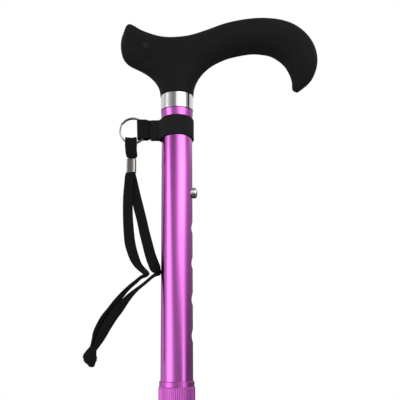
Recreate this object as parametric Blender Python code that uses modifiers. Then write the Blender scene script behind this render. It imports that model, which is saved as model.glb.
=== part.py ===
"""Walking stick with a derby handle, a telescopic aluminium shaft and a wrist cord.

The stick stands upright on its ferrule: +Z runs up the shaft, +X points along the handle's long
arm, and the origin is the middle of the ferrule's tread. It is drawn at its shortest setting,
with the spring button in the top hole. Lengths are in metres and angles in degrees.
"""

import math

import bmesh
import bpy
import numpy as np
from mathutils import Matrix, Vector

MM = 0.001
GAP = 0.3 * MM  # left between faces that touch on the real stick
ROUND_STEPS = 40  # flats round a tube
FINE_STEPS = 24  # flats round a small turned piece
REACH_PAST = 5 * MM  # how far a cutter runs beyond what it cuts

# Whole stick
SHORTEST_HEIGHT = 840 * MM  # floor to the top of the palm rest, button in the top hole

# Handle
HANDLE_REACH = 106.4 * MM  # shaft axis to the far end of the arm
HANDLE_NOSE = 42.3 * MM  # shaft axis to the end of the nose
HANDLE_RISE = 62.4 * MM  # top of the collar to the top of the palm rest
HANDLE_WIDTH = 26.0 * MM  # across the palm
HANDLE_SKIN = 1.6 * MM  # thickness of the soft cover
NECK_OVERHANG = 0.45 * MM  # the neck stands out over the collar by this much
NOSE_FLARE_RUN = 39 * MM  # the underside's quarter ellipse on the nose side, along X
NOSE_FLARE_RISE = 26 * MM
ARM_FLARE_RUN = 43 * MM  # the same on the arm side
ARM_FLARE_RISE = 34.3 * MM
NOSE_FLARE_END = 0.88  # share of its rise at which the nose flare stops spreading
ARM_FLARE_END = 0.96
NECK_BLEND = 5 * MM  # softness of the joint between neck and crook
NECK_FADE_FROM = 0.15  # shares of a chord between which the neck comes in
NECK_FADE_TO = 0.6
DEEPEST_SHARE = 2.6  # how far past the crook a chord is searched for the neck's end

# Handle fixing
STUD_DIAMETER = 7.8 * MM
STUD_IN_HANDLE = 24 * MM
STUD_IN_TUBE = 20 * MM
STUD_CHAMFER = 0.8 * MM
INSERT_WALL = 2.4 * MM
INSERT_LENGTH = 22 * MM
TUBE_PLUG_LENGTH = 26 * MM

# Collar
COLLAR_WALL = 0.6 * MM
COLLAR_HEIGHT = 11.6 * MM
COLLAR_EDGE = 0.4 * MM

# Upper tube
UPPER_DIAMETER = 22.2 * MM
UPPER_WALL = 1.2 * MM
UPPER_LENGTH = 223.5 * MM  # from the top of the collar down
UPPER_DROP = 0.5 * MM  # the collar stands above the tube's end by this much
LIP_STANDS_OUT = 0.6 * MM  # the rolled bead that the collar sits on
LIP_HEIGHT = 1.8 * MM
LIP_EDGE = 0.4 * MM
HOLE_COUNT = 5
HOLE_PITCH = 25.4 * MM
HOLE_PLAY = 0.4 * MM  # round the button
HOLE_DROP = 74 * MM  # top of the collar to the top hole

# Lower tube
LOWER_PLAY = 0.4 * MM  # between the two tubes, all round
LOWER_WALL = 1.2 * MM
LOWER_ABOVE_BUTTON = 18 * MM

# Bush in the lower tube's mouth
BUSH_HEAD = 2 * MM
BUSH_LENGTH = 9 * MM
BUSH_WALL = 1.2 * MM

# Spring button and its clip
BUTTON_DIAMETER = 7.4 * MM
BUTTON_STANDS_OUT = 3.8 * MM  # beyond the upper tube
BUTTON_DOME = 2.2 * MM  # height of the rounded end
BUTTON_RIM = 0.9 * MM  # how far its flange stands out
BUTTON_FLANGE = 0.8 * MM
FLANGE_CLEARANCE = 0.45 * MM  # from its rim to the lower tube's bore
CLIP_THICKNESS = 0.5 * MM
CLIP_WIDTH = 8 * MM
CLIP_BEND = 2.0 * MM  # radius, at the foot of the clip
CLIP_ABOVE = 6 * MM  # above the button's middle
CLIP_STRAIGHT = 9 * MM  # below the button's middle
CLIP_BELOW = 36 * MM
CLIP_HEEL = 5 * MM  # below the button's middle, where the back leg ends

# Lock nut and clamp ring
NUT_LENGTH = 30 * MM
NUT_OVER_TUBE = 17 * MM  # how far the nut reaches up the tube
NUT_PLAY = 0.2 * MM
NUT_MOUTH_WALL = 0.45 * MM
NUT_NECK_WALL = 0.8 * MM
NUT_GRIP_WALL = 1.35 * MM
NUT_NECK_HEIGHT = 4 * MM
NUT_FOOT_HEIGHT = 3 * MM
NUT_FLUTES = 56
NUT_FLUTE_DEPTH = 0.35 * MM
NUT_FLUTE_RADIUS = 0.7 * MM
CLAMP_LENGTH = 6.5 * MM
CLAMP_TAPER = 0.6 * MM  # how much thinner the ring is at its foot
CLAMP_SLIT = 1.6 * MM

# Ferrule
FERRULE_HEIGHT = 48 * MM
FERRULE_TREAD_DIAMETER = 36 * MM
FERRULE_WALL = 2.6 * MM
FERRULE_BEAD = 0.8 * MM  # how far the mouth's bead stands out
FERRULE_BEAD_HEIGHT = 4 * MM
FERRULE_TREAD_HEIGHT = 9 * MM
FERRULE_SKIRT = 13 * MM  # height in which the waist widens to the tread
FERRULE_SOLE = 10 * MM  # rubber under the washer
TREAD_EDGE = 0.8 * MM
TREAD_RIB = 2.2 * MM
TREAD_GROOVE = 1.6 * MM
TREAD_GROOVE_DEPTH = 1.5 * MM
TREAD_PAD_DIAMETER = 10 * MM  # the least that is left flat in the middle
WASHER_THICKNESS = 1.5 * MM
WASHER_HOLE = 7 * MM

# Elastic band and webbing tab
BAND_HEIGHT = 15 * MM
BAND_THICKNESS = 0.95 * MM
BAND_CROWN = 0.3 * MM  # how much slimmer the band is at its edges
BAND_DROP = 17.4 * MM  # top of the collar to the top of the band
TAB_HEIGHT = 15.6 * MM
TAB_REACH = 29.8 * MM  # shaft axis to the fold round the ring
TAB_WEBBING = 0.8 * MM
TAB_STEM = 2.0 * MM  # thickness of the two sewn layers
TAB_PLAY = 0.62 * MM  # room for the ring along X, each side
TAB_SWING_ROOM = 1.45 * MM  # the same along Y
TAB_CORNER = 1.5 * MM

# Split ring
RING_DIAMETER = 20.3 * MM  # outside
RING_WIRE = 1.2 * MM
RING_TURN_GAP = 0.5 * MM
RING_DROP = 26.4 * MM  # top of the collar to the ring's middle
RING_JOG = 40  # the wire steps from one turn to the next in this angle
RING_JOG_AT = 145  # where it does so, from +X
RING_POINTS_A_TURN = 36

# Wrist cord, a flat tape
TAPE_WIDTH = 7.0 * MM
TAPE_THICKNESS = 1.3 * MM
TAPE_SQUEEZED = 0.7  # share of its width inside the crimp and at the knot
TAPE_SPREAD = 1.14  # share of its width where it lies over the ring
TAPE_BETWEEN = 0.4 * MM  # between the two layers inside the crimp
TAPE_EDGE_POINTS = 4  # round each edge
LOOP_OFFSET = 1.45 * MM  # the loop hangs this far from the ring's middle, along -X
LOOP_PLAY = 1.45 * MM  # from the ring's turns to the tape round them
LOOP_ARC_POINTS = 14
LOOP_LEG = 4 * MM  # straight part below the ring's foot
CRIMP_OFFSET = 0.45 * MM
CRIMP_HEIGHT = 10.4 * MM
CRIMP_DROP = 47.7 * MM  # top of the collar to the top of the crimp
CRIMP_WALL = 0.5 * MM
CRIMP_SEAM = 0.8 * MM
CRIMP_CORNER = 1.3 * MM
CRIMP_FLARE = 2 * MM  # the layers part over this height above it
CORD_SPLICE = 0.7 * MM  # above the crimp's foot, where loop and strands meet
KNOT_SIZE = (9.4 * MM, 8.4 * MM, 13.4 * MM)
KNOT_TILT = 10  # its top leans towards the shaft
KNOT_SHIFT = 0.8 * MM  # it hangs this far from below the strands' ends, along -X
KNOT_LOBE = 0.08  # depth of the lobes as a share of the radius
KNOT_WIND = 12  # how far the lobes wind round the knot, in radians per knot height

# What follows from the sizes above
COLLAR_TOP = SHORTEST_HEIGHT - HANDLE_RISE
COLLAR_FOOT = COLLAR_TOP - COLLAR_HEIGHT
NECK_FOOT = COLLAR_TOP + GAP
TUBE_TOP = COLLAR_TOP - UPPER_DROP
TUBE_FOOT = COLLAR_TOP - UPPER_LENGTH
BUTTON_Z = COLLAR_TOP - HOLE_DROP
COLLAR_DIAMETER = UPPER_DIAMETER + 2 * (GAP + COLLAR_WALL)
NECK_DIAMETER = COLLAR_DIAMETER + 2 * NECK_OVERHANG
UPPER_BORE = UPPER_DIAMETER - 2 * UPPER_WALL
LOWER_DIAMETER = UPPER_BORE - 2 * LOWER_PLAY
LOWER_BORE = LOWER_DIAMETER - 2 * LOWER_WALL
NUT_BORE = UPPER_DIAMETER / 2 + NUT_PLAY  # a radius
LOWER_TOP = BUTTON_Z + LOWER_ABOVE_BUTTON
LOWER_FOOT = FERRULE_SOLE + WASHER_THICKNESS + 2 * GAP
STUD_HOLE = STUD_DIAMETER + 2 * GAP
INSERT_DIAMETER = STUD_HOLE + 2 * INSERT_WALL
NUT_TOP = TUBE_FOOT + NUT_OVER_TUBE
NUT_FOOT = NUT_TOP - NUT_LENGTH
BAND_TOP = COLLAR_TOP - BAND_DROP
BAND_MIDDLE = BAND_TOP - BAND_HEIGHT / 2
BAND_OUTSIDE = UPPER_DIAMETER / 2 + GAP + BAND_THICKNESS
RING_Z = COLLAR_TOP - RING_DROP
RING_RADIUS = (RING_DIAMETER - RING_WIRE) / 2
RING_DEPTH = 2 * RING_WIRE + RING_TURN_GAP
RING_CHORD = math.sqrt(max((RING_RADIUS - RING_WIRE / 2) ** 2 - (TAB_HEIGHT / 2) ** 2, 0))
TAB_EYE_LENGTH = RING_DIAMETER / 2 - RING_CHORD + 2 * TAB_PLAY
TAB_EYE_WIDTH = RING_DEPTH + 2 * TAB_SWING_ROOM
TAB_EYE_X = -TAB_REACH + TAB_WEBBING + TAB_EYE_LENGTH / 2
RING_X = TAB_EYE_X - (RING_DIAMETER / 2 + RING_CHORD) / 2
RING_FOOT_Z = RING_Z - RING_RADIUS
TAPE_LAYER = (TAPE_THICKNESS + TAPE_BETWEEN) / 2  # middle of the crimp to middle of a layer
LOOP_RADIUS = RING_DEPTH / 2 + LOOP_PLAY + TAPE_THICKNESS / 2
LOOP_X = RING_X - LOOP_OFFSET
CRIMP_X = RING_X - CRIMP_OFFSET
CRIMP_TOP = COLLAR_TOP - CRIMP_DROP
CRIMP_FOOT = CRIMP_TOP - CRIMP_HEIGHT
CRIMP_DEPTH = 2 * (TAPE_LAYER + TAPE_THICKNESS / 2 + GAP + CRIMP_WALL)
CRIMP_WIDTH = TAPE_WIDTH * TAPE_SQUEEZED + 2 * (GAP + CRIMP_WALL)

# The crook in side view: points of its upper line and of its lower line, and its width, from nose
# to tip. X is a share of the nose (below 0) or of the reach (above 0), Z a share of the rise, and
# the width a share of the handle's width. The lower line runs on inside the neck.
CROOK = (
    (-1.000, 0.633, -1.000, 0.633, 0.00),
    (-0.974, 0.815, -0.972, 0.490, 0.50),
    (-0.900, 0.938, -0.895, 0.430, 0.74),
    (-0.615, 0.832, -0.638, 0.392, 0.92),
    (-0.078, 0.747, -0.078, 0.400, 0.98),
    (0.207, 0.824, 0.207, 0.489, 1.00),
    (0.355, 0.918, 0.355, 0.535, 1.00),
    (0.526, 0.987, 0.526, 0.565, 1.00),
    (0.640, 1.000, 0.605, 0.568, 1.00),
    (0.755, 0.972, 0.665, 0.535, 0.99),
    (0.858, 0.895, 0.714, 0.470, 0.97),
    (0.944, 0.775, 0.758, 0.386, 0.93),
    (0.993, 0.600, 0.793, 0.277, 0.84),
    (0.994, 0.400, 0.815, 0.180, 0.70),
    (0.945, 0.200, 0.827, 0.100, 0.50),
    (0.862, 0.060, 0.862, 0.060, 0.00),
)

# The cord's two strands, from inside the crimp to the knot, as x, y, z, turn and width: x and z
# in millimetres from the middle of the crimp's foot, y as a share of a layer's place in the
# crimp, the turn of the tape (90 shows its flat side to the front, 0 its edge), and its width as
# a share of the tape's.
STRAND_LEFT = (
    (0.0, -1.0, 0.7, 90, 0.70),
    (0.0, -1.0, -0.4, 90, 0.70),
    (-0.3, -1.1, -3.0, 90, 0.9),
    (-0.9, -1.1, -6.0, 90, 1.0),
    (-2.1, -1.05, -13.0, 90, 1.0),
    (-2.7, -0.8, -21.0, 90, 1.0),
    (-2.0, -0.6, -33.4, 90, 1.0),
    (-0.9, -0.35, -50.2, 88, 1.0),
    (1.65, -0.1, -58.6, 80, 1.0),
    (4.2, 0.0, -66.0, 54, 1.0),
    (8.3, 0.0, -71.3, 26, 1.0),
    (10.9, 0.0, -73.2, 6, 1.0),
    (12.4, 0.0, -74.4, 0, 1.0),
    (11.2, 0.0, -75.9, 0, 1.0),
    (7.6, 0.0, -78.0, 2, 1.0),
    (3.75, 0.0, -80.2, 6, 1.0),
    (-1.0, 0.0, -85.2, 16, 1.0),
    (-9.0, 0.0, -93.8, 30, 1.0),
    (-16.1, 0.0, -103.1, 36, 1.0),
    (-20.1, 0.0, -108.8, 36, 1.0),
    (-22.8, 0.0, -115.0, 28, 1.0),
    (-24.7, 0.0, -120.2, 10, 0.88),
    (-25.6, 0.0, -124.0, 0, 0.70),
)
STRAND_RIGHT = (
    (0.0, 1.0, 0.7, 90, 0.70),
    (0.0, 1.0, -0.4, 90, 0.70),
    (0.5, 1.1, -3.0, 90, 0.9),
    (1.3, 1.1, -6.0, 90, 1.0),
    (2.6, 1.05, -14.0, 90, 1.0),
    (4.2, 0.8, -22.4, 90, 1.0),
    (6.8, 0.6, -33.4, 90, 1.0),
    (9.6, 0.35, -45.1, 90, 1.0),
    (11.85, 0.2, -50.2, 90, 1.0),
    (14.2, 0.1, -58.6, 88, 1.0),
    (16.8, 0.0, -66.0, 74, 1.0),
    (18.8, 0.0, -70.6, 46, 1.0),
    (19.9, 0.0, -73.2, 16, 1.0),
    (20.3, 0.0, -74.8, 0, 1.0),
    (18.2, 0.0, -75.9, 0, 1.0),
    (15.1, 0.0, -77.1, 2, 1.0),
    (10.6, 0.0, -80.5, 6, 1.0),
    (3.1, 0.0, -86.4, 18, 1.0),
    (-0.5, 0.0, -90.7, 28, 1.0),
    (-9.8, 0.0, -103.7, 36, 1.0),
    (-14.7, 0.0, -110.5, 36, 1.0),
    (-18.9, 0.0, -117.6, 26, 1.0),
    (-22.0, 0.0, -121.8, 8, 0.88),
    (-23.7, 0.0, -124.4, 0, 0.70),
)
STRAND_STEPS = 3  # points of the tape for each chosen one


def make_collection(name):
    collection = bpy.data.collections.new(name)
    bpy.context.scene.collection.children.link(collection)
    return collection


for left_over in list(bpy.data.objects):
    bpy.data.objects.remove(left_over, do_unlink=True)
PARTS = make_collection("walking_stick")
CUTTERS = make_collection("cutters")


def material(name, colour, roughness, metallic=0.0):
    made = bpy.data.materials.new(name)
    made.use_nodes = True
    shader = made.node_tree.nodes["Principled BSDF"]
    shader.inputs["Base Color"].default_value = (*colour, 1.0)
    shader.inputs["Roughness"].default_value = roughness
    shader.inputs["Metallic"].default_value = metallic
    made.diffuse_color = (*colour, 1.0)
    return made


def add_part(name, data, look, place=(0, 0, 0), turn=(0, 0, 0)):
    """An object of the stick, with its own material."""
    made = bpy.data.objects.new(name, data)
    made.location = place
    made.rotation_euler = [math.radians(angle) for angle in turn]
    PARTS.objects.link(made)
    data.materials.append(look)
    return made


def add_cutter(name, mesh):
    """A helper that is only subtracted from a part."""
    made = bpy.data.objects.new(name, mesh)
    made.hide_render = True
    made.display_type = "WIRE"
    CUTTERS.objects.link(made)
    return made


def cut(part, cutter):
    modifier = part.modifiers.new("Cut " + cutter.name, "BOOLEAN")
    modifier.operation = "DIFFERENCE"
    modifier.solver = "EXACT"
    modifier.object = cutter


def mesh_from(name, fill, *sizes):
    """A mesh filled by a function that works on a bmesh."""
    bm = bmesh.new()
    fill(bm, *sizes)
    mesh = bpy.data.meshes.new(name)
    bm.to_mesh(mesh)
    bm.free()
    mesh.shade_smooth()
    mesh.set_sharp_from_angle(angle=math.radians(35))
    return mesh


def profile_mesh(name, profile, closed):
    count = len(profile)
    mesh = bpy.data.meshes.new(name)
    edges = [(i, (i + 1) % count) for i in range(count if closed else count - 1)]
    mesh.from_pydata([(radius, 0, height) for radius, height in profile], edges, [])
    return mesh


def carry_round(made, steps):
    """A Screw modifier that turns a profile of (radius, height) pairs round the object's Z."""
    screw = made.modifiers.new("Turn", "SCREW")
    screw.steps = steps
    screw.render_steps = steps
    screw.use_merge_vertices = True
    screw.merge_threshold = 0.01 * MM
    screw.use_smooth_shade = True


def turned(name, profile, look, place=(0, 0, 0), turn=(0, 0, 0), steps=ROUND_STEPS, closed=True):
    made = add_part(name, profile_mesh(name, profile, closed), look, place, turn)
    carry_round(made, steps)
    return made


def turned_cutter(name, profile, steps):
    made = add_cutter(name, profile_mesh(name, profile, False))
    carry_round(made, steps)
    return made


def tube_profile(outside, inside, top, foot, edge=0.0):
    """Half section of a tube, from its outer top edge down and back up the bore."""
    outer = [(outside / 2 - edge, top), (outside / 2, top - edge)]
    outer += [(outside / 2, foot + edge), (outside / 2 - edge, foot)]
    if not edge:
        outer = [(outside / 2, top), (outside / 2, foot)]
    return outer + [(inside / 2, foot), (inside / 2, top)]


def cylinders(bm, diameter, length, places, turn, sides):
    """Equal cylinders whose axes lie along Z before the turn."""
    for place in places:
        where = Matrix.Translation(place) @ turn
        bmesh.ops.create_cone(
            bm,
            cap_ends=True,
            segments=sides,
            radius1=diameter / 2,
            radius2=diameter / 2,
            depth=length,
            matrix=where,
        )


def box(bm, low, high):
    size = [b - a for a, b in zip(low, high)]
    middle = [(a + b) / 2 for a, b in zip(low, high)]
    bmesh.ops.create_cube(bm, size=1, matrix=Matrix.Translation(middle) @ Matrix.Diagonal((*size, 1)))


def knots_of(places):
    """A parameter along the places that grows with the square root of each step."""
    steps = np.sqrt(np.linalg.norm(np.diff(places, axis=0), axis=1))
    return np.concatenate([[0], np.cumsum(steps)])


def read_between(rows, knots, at):
    """Rows of numbers read between their knots, on cubics that lean on both neighbours."""
    slope = np.diff(rows, axis=0) / np.diff(knots)[:, None]
    before = np.diff(knots)[:-1, None]
    after = np.diff(knots)[1:, None]
    inner = (slope[:-1] * after + slope[1:] * before) / (before + after)
    tangent = np.vstack([slope[:1], inner, slope[-1:]])
    i = np.clip(np.searchsorted(knots, at, side="right") - 1, 0, len(knots) - 2)
    width = (knots[i + 1] - knots[i])[:, None]
    t = (at - knots[i])[:, None] / width
    return (
        rows[i] * (2 * t**3 - 3 * t**2 + 1)
        + rows[i + 1] * (3 * t**2 - 2 * t**3)
        + tangent[i] * width * (t**3 - 2 * t**2 + t)
        + tangent[i + 1] * width * (t**3 - t**2)
    )


def rounded_corners(length, width, corner, steps=5):
    """Points round a rectangle with round corners, from the +X side's upper end."""
    points = []
    for quarter in range(4):
        sign_x = 1 if quarter in (0, 3) else -1
        sign_y = 1 if quarter < 2 else -1
        for angle in np.linspace(quarter * math.pi / 2, (quarter + 1) * math.pi / 2, steps):
            x = sign_x * (length / 2 - corner) + corner * math.cos(angle)
            y = sign_y * (width / 2 - corner) + corner * math.sin(angle)
            points.append((x, y))
    return points


def flat_outline(name, outlines, height, look, place):
    """A filled 2D curve, raised to the given height."""
    data = bpy.data.curves.new(name, "CURVE")
    data.dimensions = "2D"
    data.fill_mode = "BOTH"
    data.extrude = height / 2
    for outline in outlines:
        spline = data.splines.new("POLY")
        spline.points.add(len(outline) - 1)
        for point, (x, y) in zip(spline.points, outline):
            point.co = (x, y, 0, 1)
        spline.use_cyclic_u = True
    return add_part(name, data, look, place)


def bent_sheet(name, line, across, thickness, look, place=(0, 0, 0)):
    """A sheet that follows a line and is as wide as the vector across it."""
    line = np.asarray(line)
    half = np.asarray(across) / 2
    count = len(line)
    faces = [(i, i + 1, count + i + 1, count + i) for i in range(count - 1)]
    mesh = bpy.data.meshes.new(name)
    mesh.from_pydata(np.vstack([line - half, line + half]).tolist(), [], faces)
    made = add_part(name, mesh, look, place)
    solid = made.modifiers.new("Thickness", "SOLIDIFY")
    solid.thickness = thickness
    solid.offset = 0
    solid.use_even_offset = True
    return made


def wire(name, points, look, radius):
    """A round wire along the points."""
    data = bpy.data.curves.new(name, "CURVE")
    data.dimensions = "3D"
    data.bevel_depth = radius
    data.bevel_resolution = 2
    data.use_fill_caps = True
    spline = data.splines.new("POLY")
    spline.points.add(len(points) - 1)
    for point, place in zip(spline.points, points):
        point.co = (*place, 1)
    return add_part(name, data, look)


def hang_on(name, place, members):
    """An empty on a joint's axis that carries the pieces that move with it."""
    carrier = bpy.data.objects.new(name, None)
    carrier.location = place
    PARTS.objects.link(carrier)
    for member in members:
        member.parent = carrier
        member.matrix_parent_inverse = Matrix.Translation(-Vector(place))
    return carrier


def neck_flare(height, run, rise, share):
    """How far a flank of the neck has spread at a height, along a quarter ellipse."""
    level = np.clip(height / rise, 0, share)
    return run * (1 - np.sqrt(1 - level**2))


def handle_half_depth_squared(x, height, share, crook):
    """Squared half depth of the handle at points that lie a share of the way down their chords.

    The crook is elliptic across each chord. The neck is elliptic across each level, round at the
    collar and spreading upwards. The larger one counts, with a soft joint between them.
    """
    neck = NECK_DIAMETER / 2
    low = -neck - neck_flare(height, NOSE_FLARE_RUN, NOSE_FLARE_RISE, NOSE_FLARE_END)
    high = neck + neck_flare(height, ARM_FLARE_RUN, ARM_FLARE_RISE, ARM_FLARE_END)
    rise = np.clip(height / NOSE_FLARE_RISE, 0, 1)
    half = neck + (HANDLE_WIDTH / 2 - neck) * rise**2 * (3 - 2 * rise)
    across = (2 * x - low - high) / (high - low)
    stem = half**2 * (1 - across**2)
    soft = NECK_BLEND**4 * rise
    larger = (crook + stem + np.sqrt((crook - stem) ** 2 + soft)) / 2
    fade = np.clip((share - NECK_FADE_FROM) / (NECK_FADE_TO - NECK_FADE_FROM), 0, 1)
    return crook + fade**2 * (3 - 2 * fade) * (larger - crook)


def crook_sections(sizes):
    """Chords of the crook from nose to tip: x and z of both ends and the squared half width.

    The chords over the neck are placed by where they meet the collar, closer to each other at
    the neck's sides. sizes is how many chords the nose, each flare, the neck and the arm get.
    """
    at_nose, at_flare, at_neck, at_arm = sizes
    rows = np.array(CROOK)
    for column in (0, 2):
        rows[:, column] *= np.where(rows[:, column] > 0, HANDLE_REACH, HANDLE_NOSE)
    rows[:, (1, 3)] *= HANDLE_RISE
    rows[:, 4] = (rows[:, 4] * HANDLE_WIDTH / 2) ** 2
    knots = knots_of(rows[:, :4])
    over_neck = np.linspace(knots[2], knots[7], 400)
    x_top, z_top, x_low, z_low = read_between(rows, knots, over_neck)[:, :4].T
    landing = x_top + (x_low - x_top) * z_top / (z_top - z_low)
    neck = NECK_DIAMETER / 2
    steps = np.linspace(0, 1, at_flare + 1)[1:]
    nose_side = -neck - neck_flare(steps * NOSE_FLARE_RISE, NOSE_FLARE_RUN, NOSE_FLARE_RISE, 0.85)
    arm_side = neck + neck_flare(steps * ARM_FLARE_RISE, ARM_FLARE_RUN, ARM_FLARE_RISE, 0.9)
    across = neck * np.sin(np.linspace(-math.pi / 2, math.pi / 2, at_neck))
    feet = np.concatenate([nose_side[::-1], across, arm_side])
    middle = np.interp(feet, landing, over_neck)
    quarter = np.linspace(0, math.pi / 2, at_nose, endpoint=False)
    start = middle[0] * (1 - np.cos(quarter))
    quarter = np.linspace(0, math.pi / 2, at_arm + 1)[1:]
    end = middle[-1] + (knots[-1] - middle[-1]) * np.sin(quarter)
    on_collar = np.zeros(at_nose + len(middle) + at_arm, bool)
    on_collar[at_nose + at_flare : at_nose + at_flare + at_neck] = True
    return read_between(rows, knots, np.concatenate([start, middle, end])), on_collar


def handle_front(sizes, samples):
    """Points of the handle's front half: a row per chord, from its upper end down."""
    chords, on_collar = crook_sections(sizes)
    x_top, z_top, x_low, z_low, crook = chords.T[:, :, None]
    floor = z_top / np.maximum(z_top - z_low, HANDLE_THINNEST)

    def depth(share):
        x = x_top + (x_low - x_top) * share
        z = z_top + (z_low - z_top) * share
        own = 4 * crook * share * (1 - share)
        return x, z, handle_half_depth_squared(x, z, share, own)

    inside = np.full_like(floor, 0.5)
    outside = np.minimum(floor, DEEPEST_SHARE)
    for _ in range(HALVINGS):
        middle = (inside + outside) / 2
        solid = depth(middle)[2] > 0
        inside = np.where(solid, middle, inside)
        outside = np.where(solid, outside, middle)
    end = np.where(on_collar[:, None], floor, inside)
    share = end * (1 - np.cos(np.linspace(0, math.pi, samples))) / 2
    x, z, squared = depth(share)
    y = -np.sqrt(np.maximum(squared, 0))
    y[:, 0] = 0
    y[~on_collar, -1] = 0
    y[[0, -1]] = 0
    return np.stack([x, y, z + COLLAR_TOP], axis=2)


def handle_surface(bm, sizes, samples, inset):
    """The handle's surface, or one inside it, open at the collar."""
    front = handle_front(sizes, samples)
    back = front[:, ::-1] * (1, -1, 1)
    rings = [[bm.verts.new(place) for place in ring] for ring in np.hstack([front, back])]
    for ring, following in zip(rings, rings[1:]):
        for j in range(2 * samples - 1):
            if j != samples - 1:
                bm.faces.new((ring[j], following[j], following[j + 1], ring[j + 1]))
    bmesh.ops.remove_doubles(bm, verts=bm.verts, dist=0.001 * MM)
    bmesh.ops.recalc_face_normals(bm, faces=bm.faces)
    bm.normal_update()
    inward = [vertex.normal * inset for vertex in bm.verts]
    rim = {vertex for edge in bm.edges if edge.is_boundary for vertex in edge.verts}
    for vertex, step in zip(bm.verts, inward):
        vertex.co -= step
        if vertex in rim:
            vertex.co.z = NECK_FOOT


def closed_handle(bm, sizes, samples, inset):
    handle_surface(bm, sizes, samples, inset)
    bmesh.ops.holes_fill(bm, edges=[edge for edge in bm.edges if edge.is_boundary], sides=0)


HANDLE_CHORDS = (7, 5, 11, 22)  # over the nose, each flare, the neck and the arm
HANDLE_SAMPLES = 10
HALVINGS = 40  # of the search for where a chord leaves the handle
HANDLE_THINNEST = 0.1 * MM  # a lower chord counts as a point


def make_handle_skin():
    """Soft-touch cover of the handle, open at the neck."""
    look = material("soft_black_rubber", (0.012, 0.012, 0.014), 0.55)
    mesh = mesh_from("handle_skin", handle_surface, HANDLE_CHORDS, HANDLE_SAMPLES, 0.0)
    made = add_part("handle_skin", mesh, look)
    solid = made.modifiers.new("Cover", "SOLIDIFY")
    solid.thickness = HANDLE_SKIN
    solid.offset = -1


def make_handle_core():
    """Rigid moulding inside the cover, bored for the threaded insert."""
    look = material("grey_nylon", (0.09, 0.09, 0.1), 0.5)
    mesh = mesh_from("handle_core", closed_handle, HANDLE_CHORDS, HANDLE_SAMPLES, HANDLE_SKIN + GAP)
    core = add_part("handle_core", mesh, look)
    wide = INSERT_DIAMETER / 2 + GAP
    narrow = STUD_HOLE / 2
    step = NECK_FOOT + INSERT_LENGTH + 2 * GAP
    top = max(COLLAR_TOP + STUD_IN_HANDLE, step) + 2 * GAP
    foot = NECK_FOOT - REACH_PAST
    bore = [(0, top), (narrow, top), (narrow, step), (wide, step), (wide, foot), (0, foot)]
    cut(core, turned_cutter("insert_bore", bore, FINE_STEPS))


def make_handle_insert():
    """Brass insert moulded into the core, threaded for the stud."""
    look = material("brass", (0.72, 0.52, 0.22), 0.35, 1.0)
    foot = NECK_FOOT + GAP
    profile = tube_profile(INSERT_DIAMETER, STUD_HOLE, foot + INSERT_LENGTH, foot, COLLAR_EDGE)
    turned("handle_insert", profile, look, steps=FINE_STEPS)


def make_handle_stud():
    """Threaded stud that draws the handle down on the tube's plug."""
    look = material("zinc_steel", (0.6, 0.6, 0.6), 0.35, 1.0)
    radius = STUD_DIAMETER / 2
    top = COLLAR_TOP + STUD_IN_HANDLE
    foot = COLLAR_TOP - STUD_IN_TUBE
    profile = [(0, top), (radius - STUD_CHAMFER, top), (radius, top - STUD_CHAMFER)]
    profile += [(radius, foot + STUD_CHAMFER), (radius - STUD_CHAMFER, foot), (0, foot)]
    turned("handle_stud", profile, look, steps=FINE_STEPS, closed=False)


def make_tube_plug():
    """Nylon plug pressed into the upper tube, bored for the stud."""
    look = material("white_nylon", (0.75, 0.75, 0.72), 0.5)
    outside = UPPER_BORE - 2 * GAP
    profile = tube_profile(outside, STUD_HOLE, TUBE_TOP, TUBE_TOP - TUBE_PLUG_LENGTH, COLLAR_EDGE)
    turned("tube_plug", profile, look)


def make_collar():
    """Bright collar between the handle and the tube."""
    look = material("polished_chrome", (0.8, 0.8, 0.82), 0.08, 1.0)
    inside = UPPER_DIAMETER + 2 * GAP
    profile = tube_profile(COLLAR_DIAMETER, inside, COLLAR_TOP, COLLAR_FOOT, COLLAR_EDGE)
    turned("collar", profile, look)


def make_upper_tube():
    """Anodised tube with a rolled lip under the collar and the row of setting holes."""
    look = material("purple_anodised", (0.35, 0.075, 0.33), 0.2, 1.0)
    outer = UPPER_DIAMETER / 2
    lip = outer + LIP_STANDS_OUT
    lip_top = COLLAR_FOOT - GAP
    lip_foot = lip_top - LIP_HEIGHT
    profile = [(outer, TUBE_TOP), (outer, lip_top), (lip - LIP_EDGE, lip_top)]
    profile += [(lip, lip_top - LIP_EDGE), (lip, lip_top - 2 * LIP_EDGE), (outer, lip_foot)]
    profile += [(outer, TUBE_FOOT), (UPPER_BORE / 2, TUBE_FOOT), (UPPER_BORE / 2, TUBE_TOP)]
    tube = turned("upper_tube", profile, look)
    middle = (UPPER_DIAMETER + UPPER_BORE) / 4
    places = [(middle, 0, BUTTON_Z - step * HOLE_PITCH) for step in range(HOLE_COUNT)]
    hole = BUTTON_DIAMETER + 2 * HOLE_PLAY
    turn = Matrix.Rotation(math.pi / 2, 4, "Y")
    mesh = mesh_from("holes", cylinders, hole, REACH_PAST, places, turn, FINE_STEPS)
    cut(tube, add_cutter("setting_holes", mesh))


def make_lower_tube():
    """Inner tube that slides in the upper one and stands in the ferrule."""
    look = material("purple_anodised_lower", (0.35, 0.075, 0.33), 0.22, 1.0)
    tube = turned("lower_tube", tube_profile(LOWER_DIAMETER, LOWER_BORE, LOWER_TOP, LOWER_FOOT), look)
    place = [((LOWER_DIAMETER + LOWER_BORE) / 4, 0, BUTTON_Z)]
    turn = Matrix.Rotation(math.pi / 2, 4, "Y")
    hole = BUTTON_DIAMETER + 2 * GAP
    mesh = mesh_from("hole", cylinders, hole, REACH_PAST, place, turn, FINE_STEPS)
    cut(tube, add_cutter("button_hole", mesh))
    return tube


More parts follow.
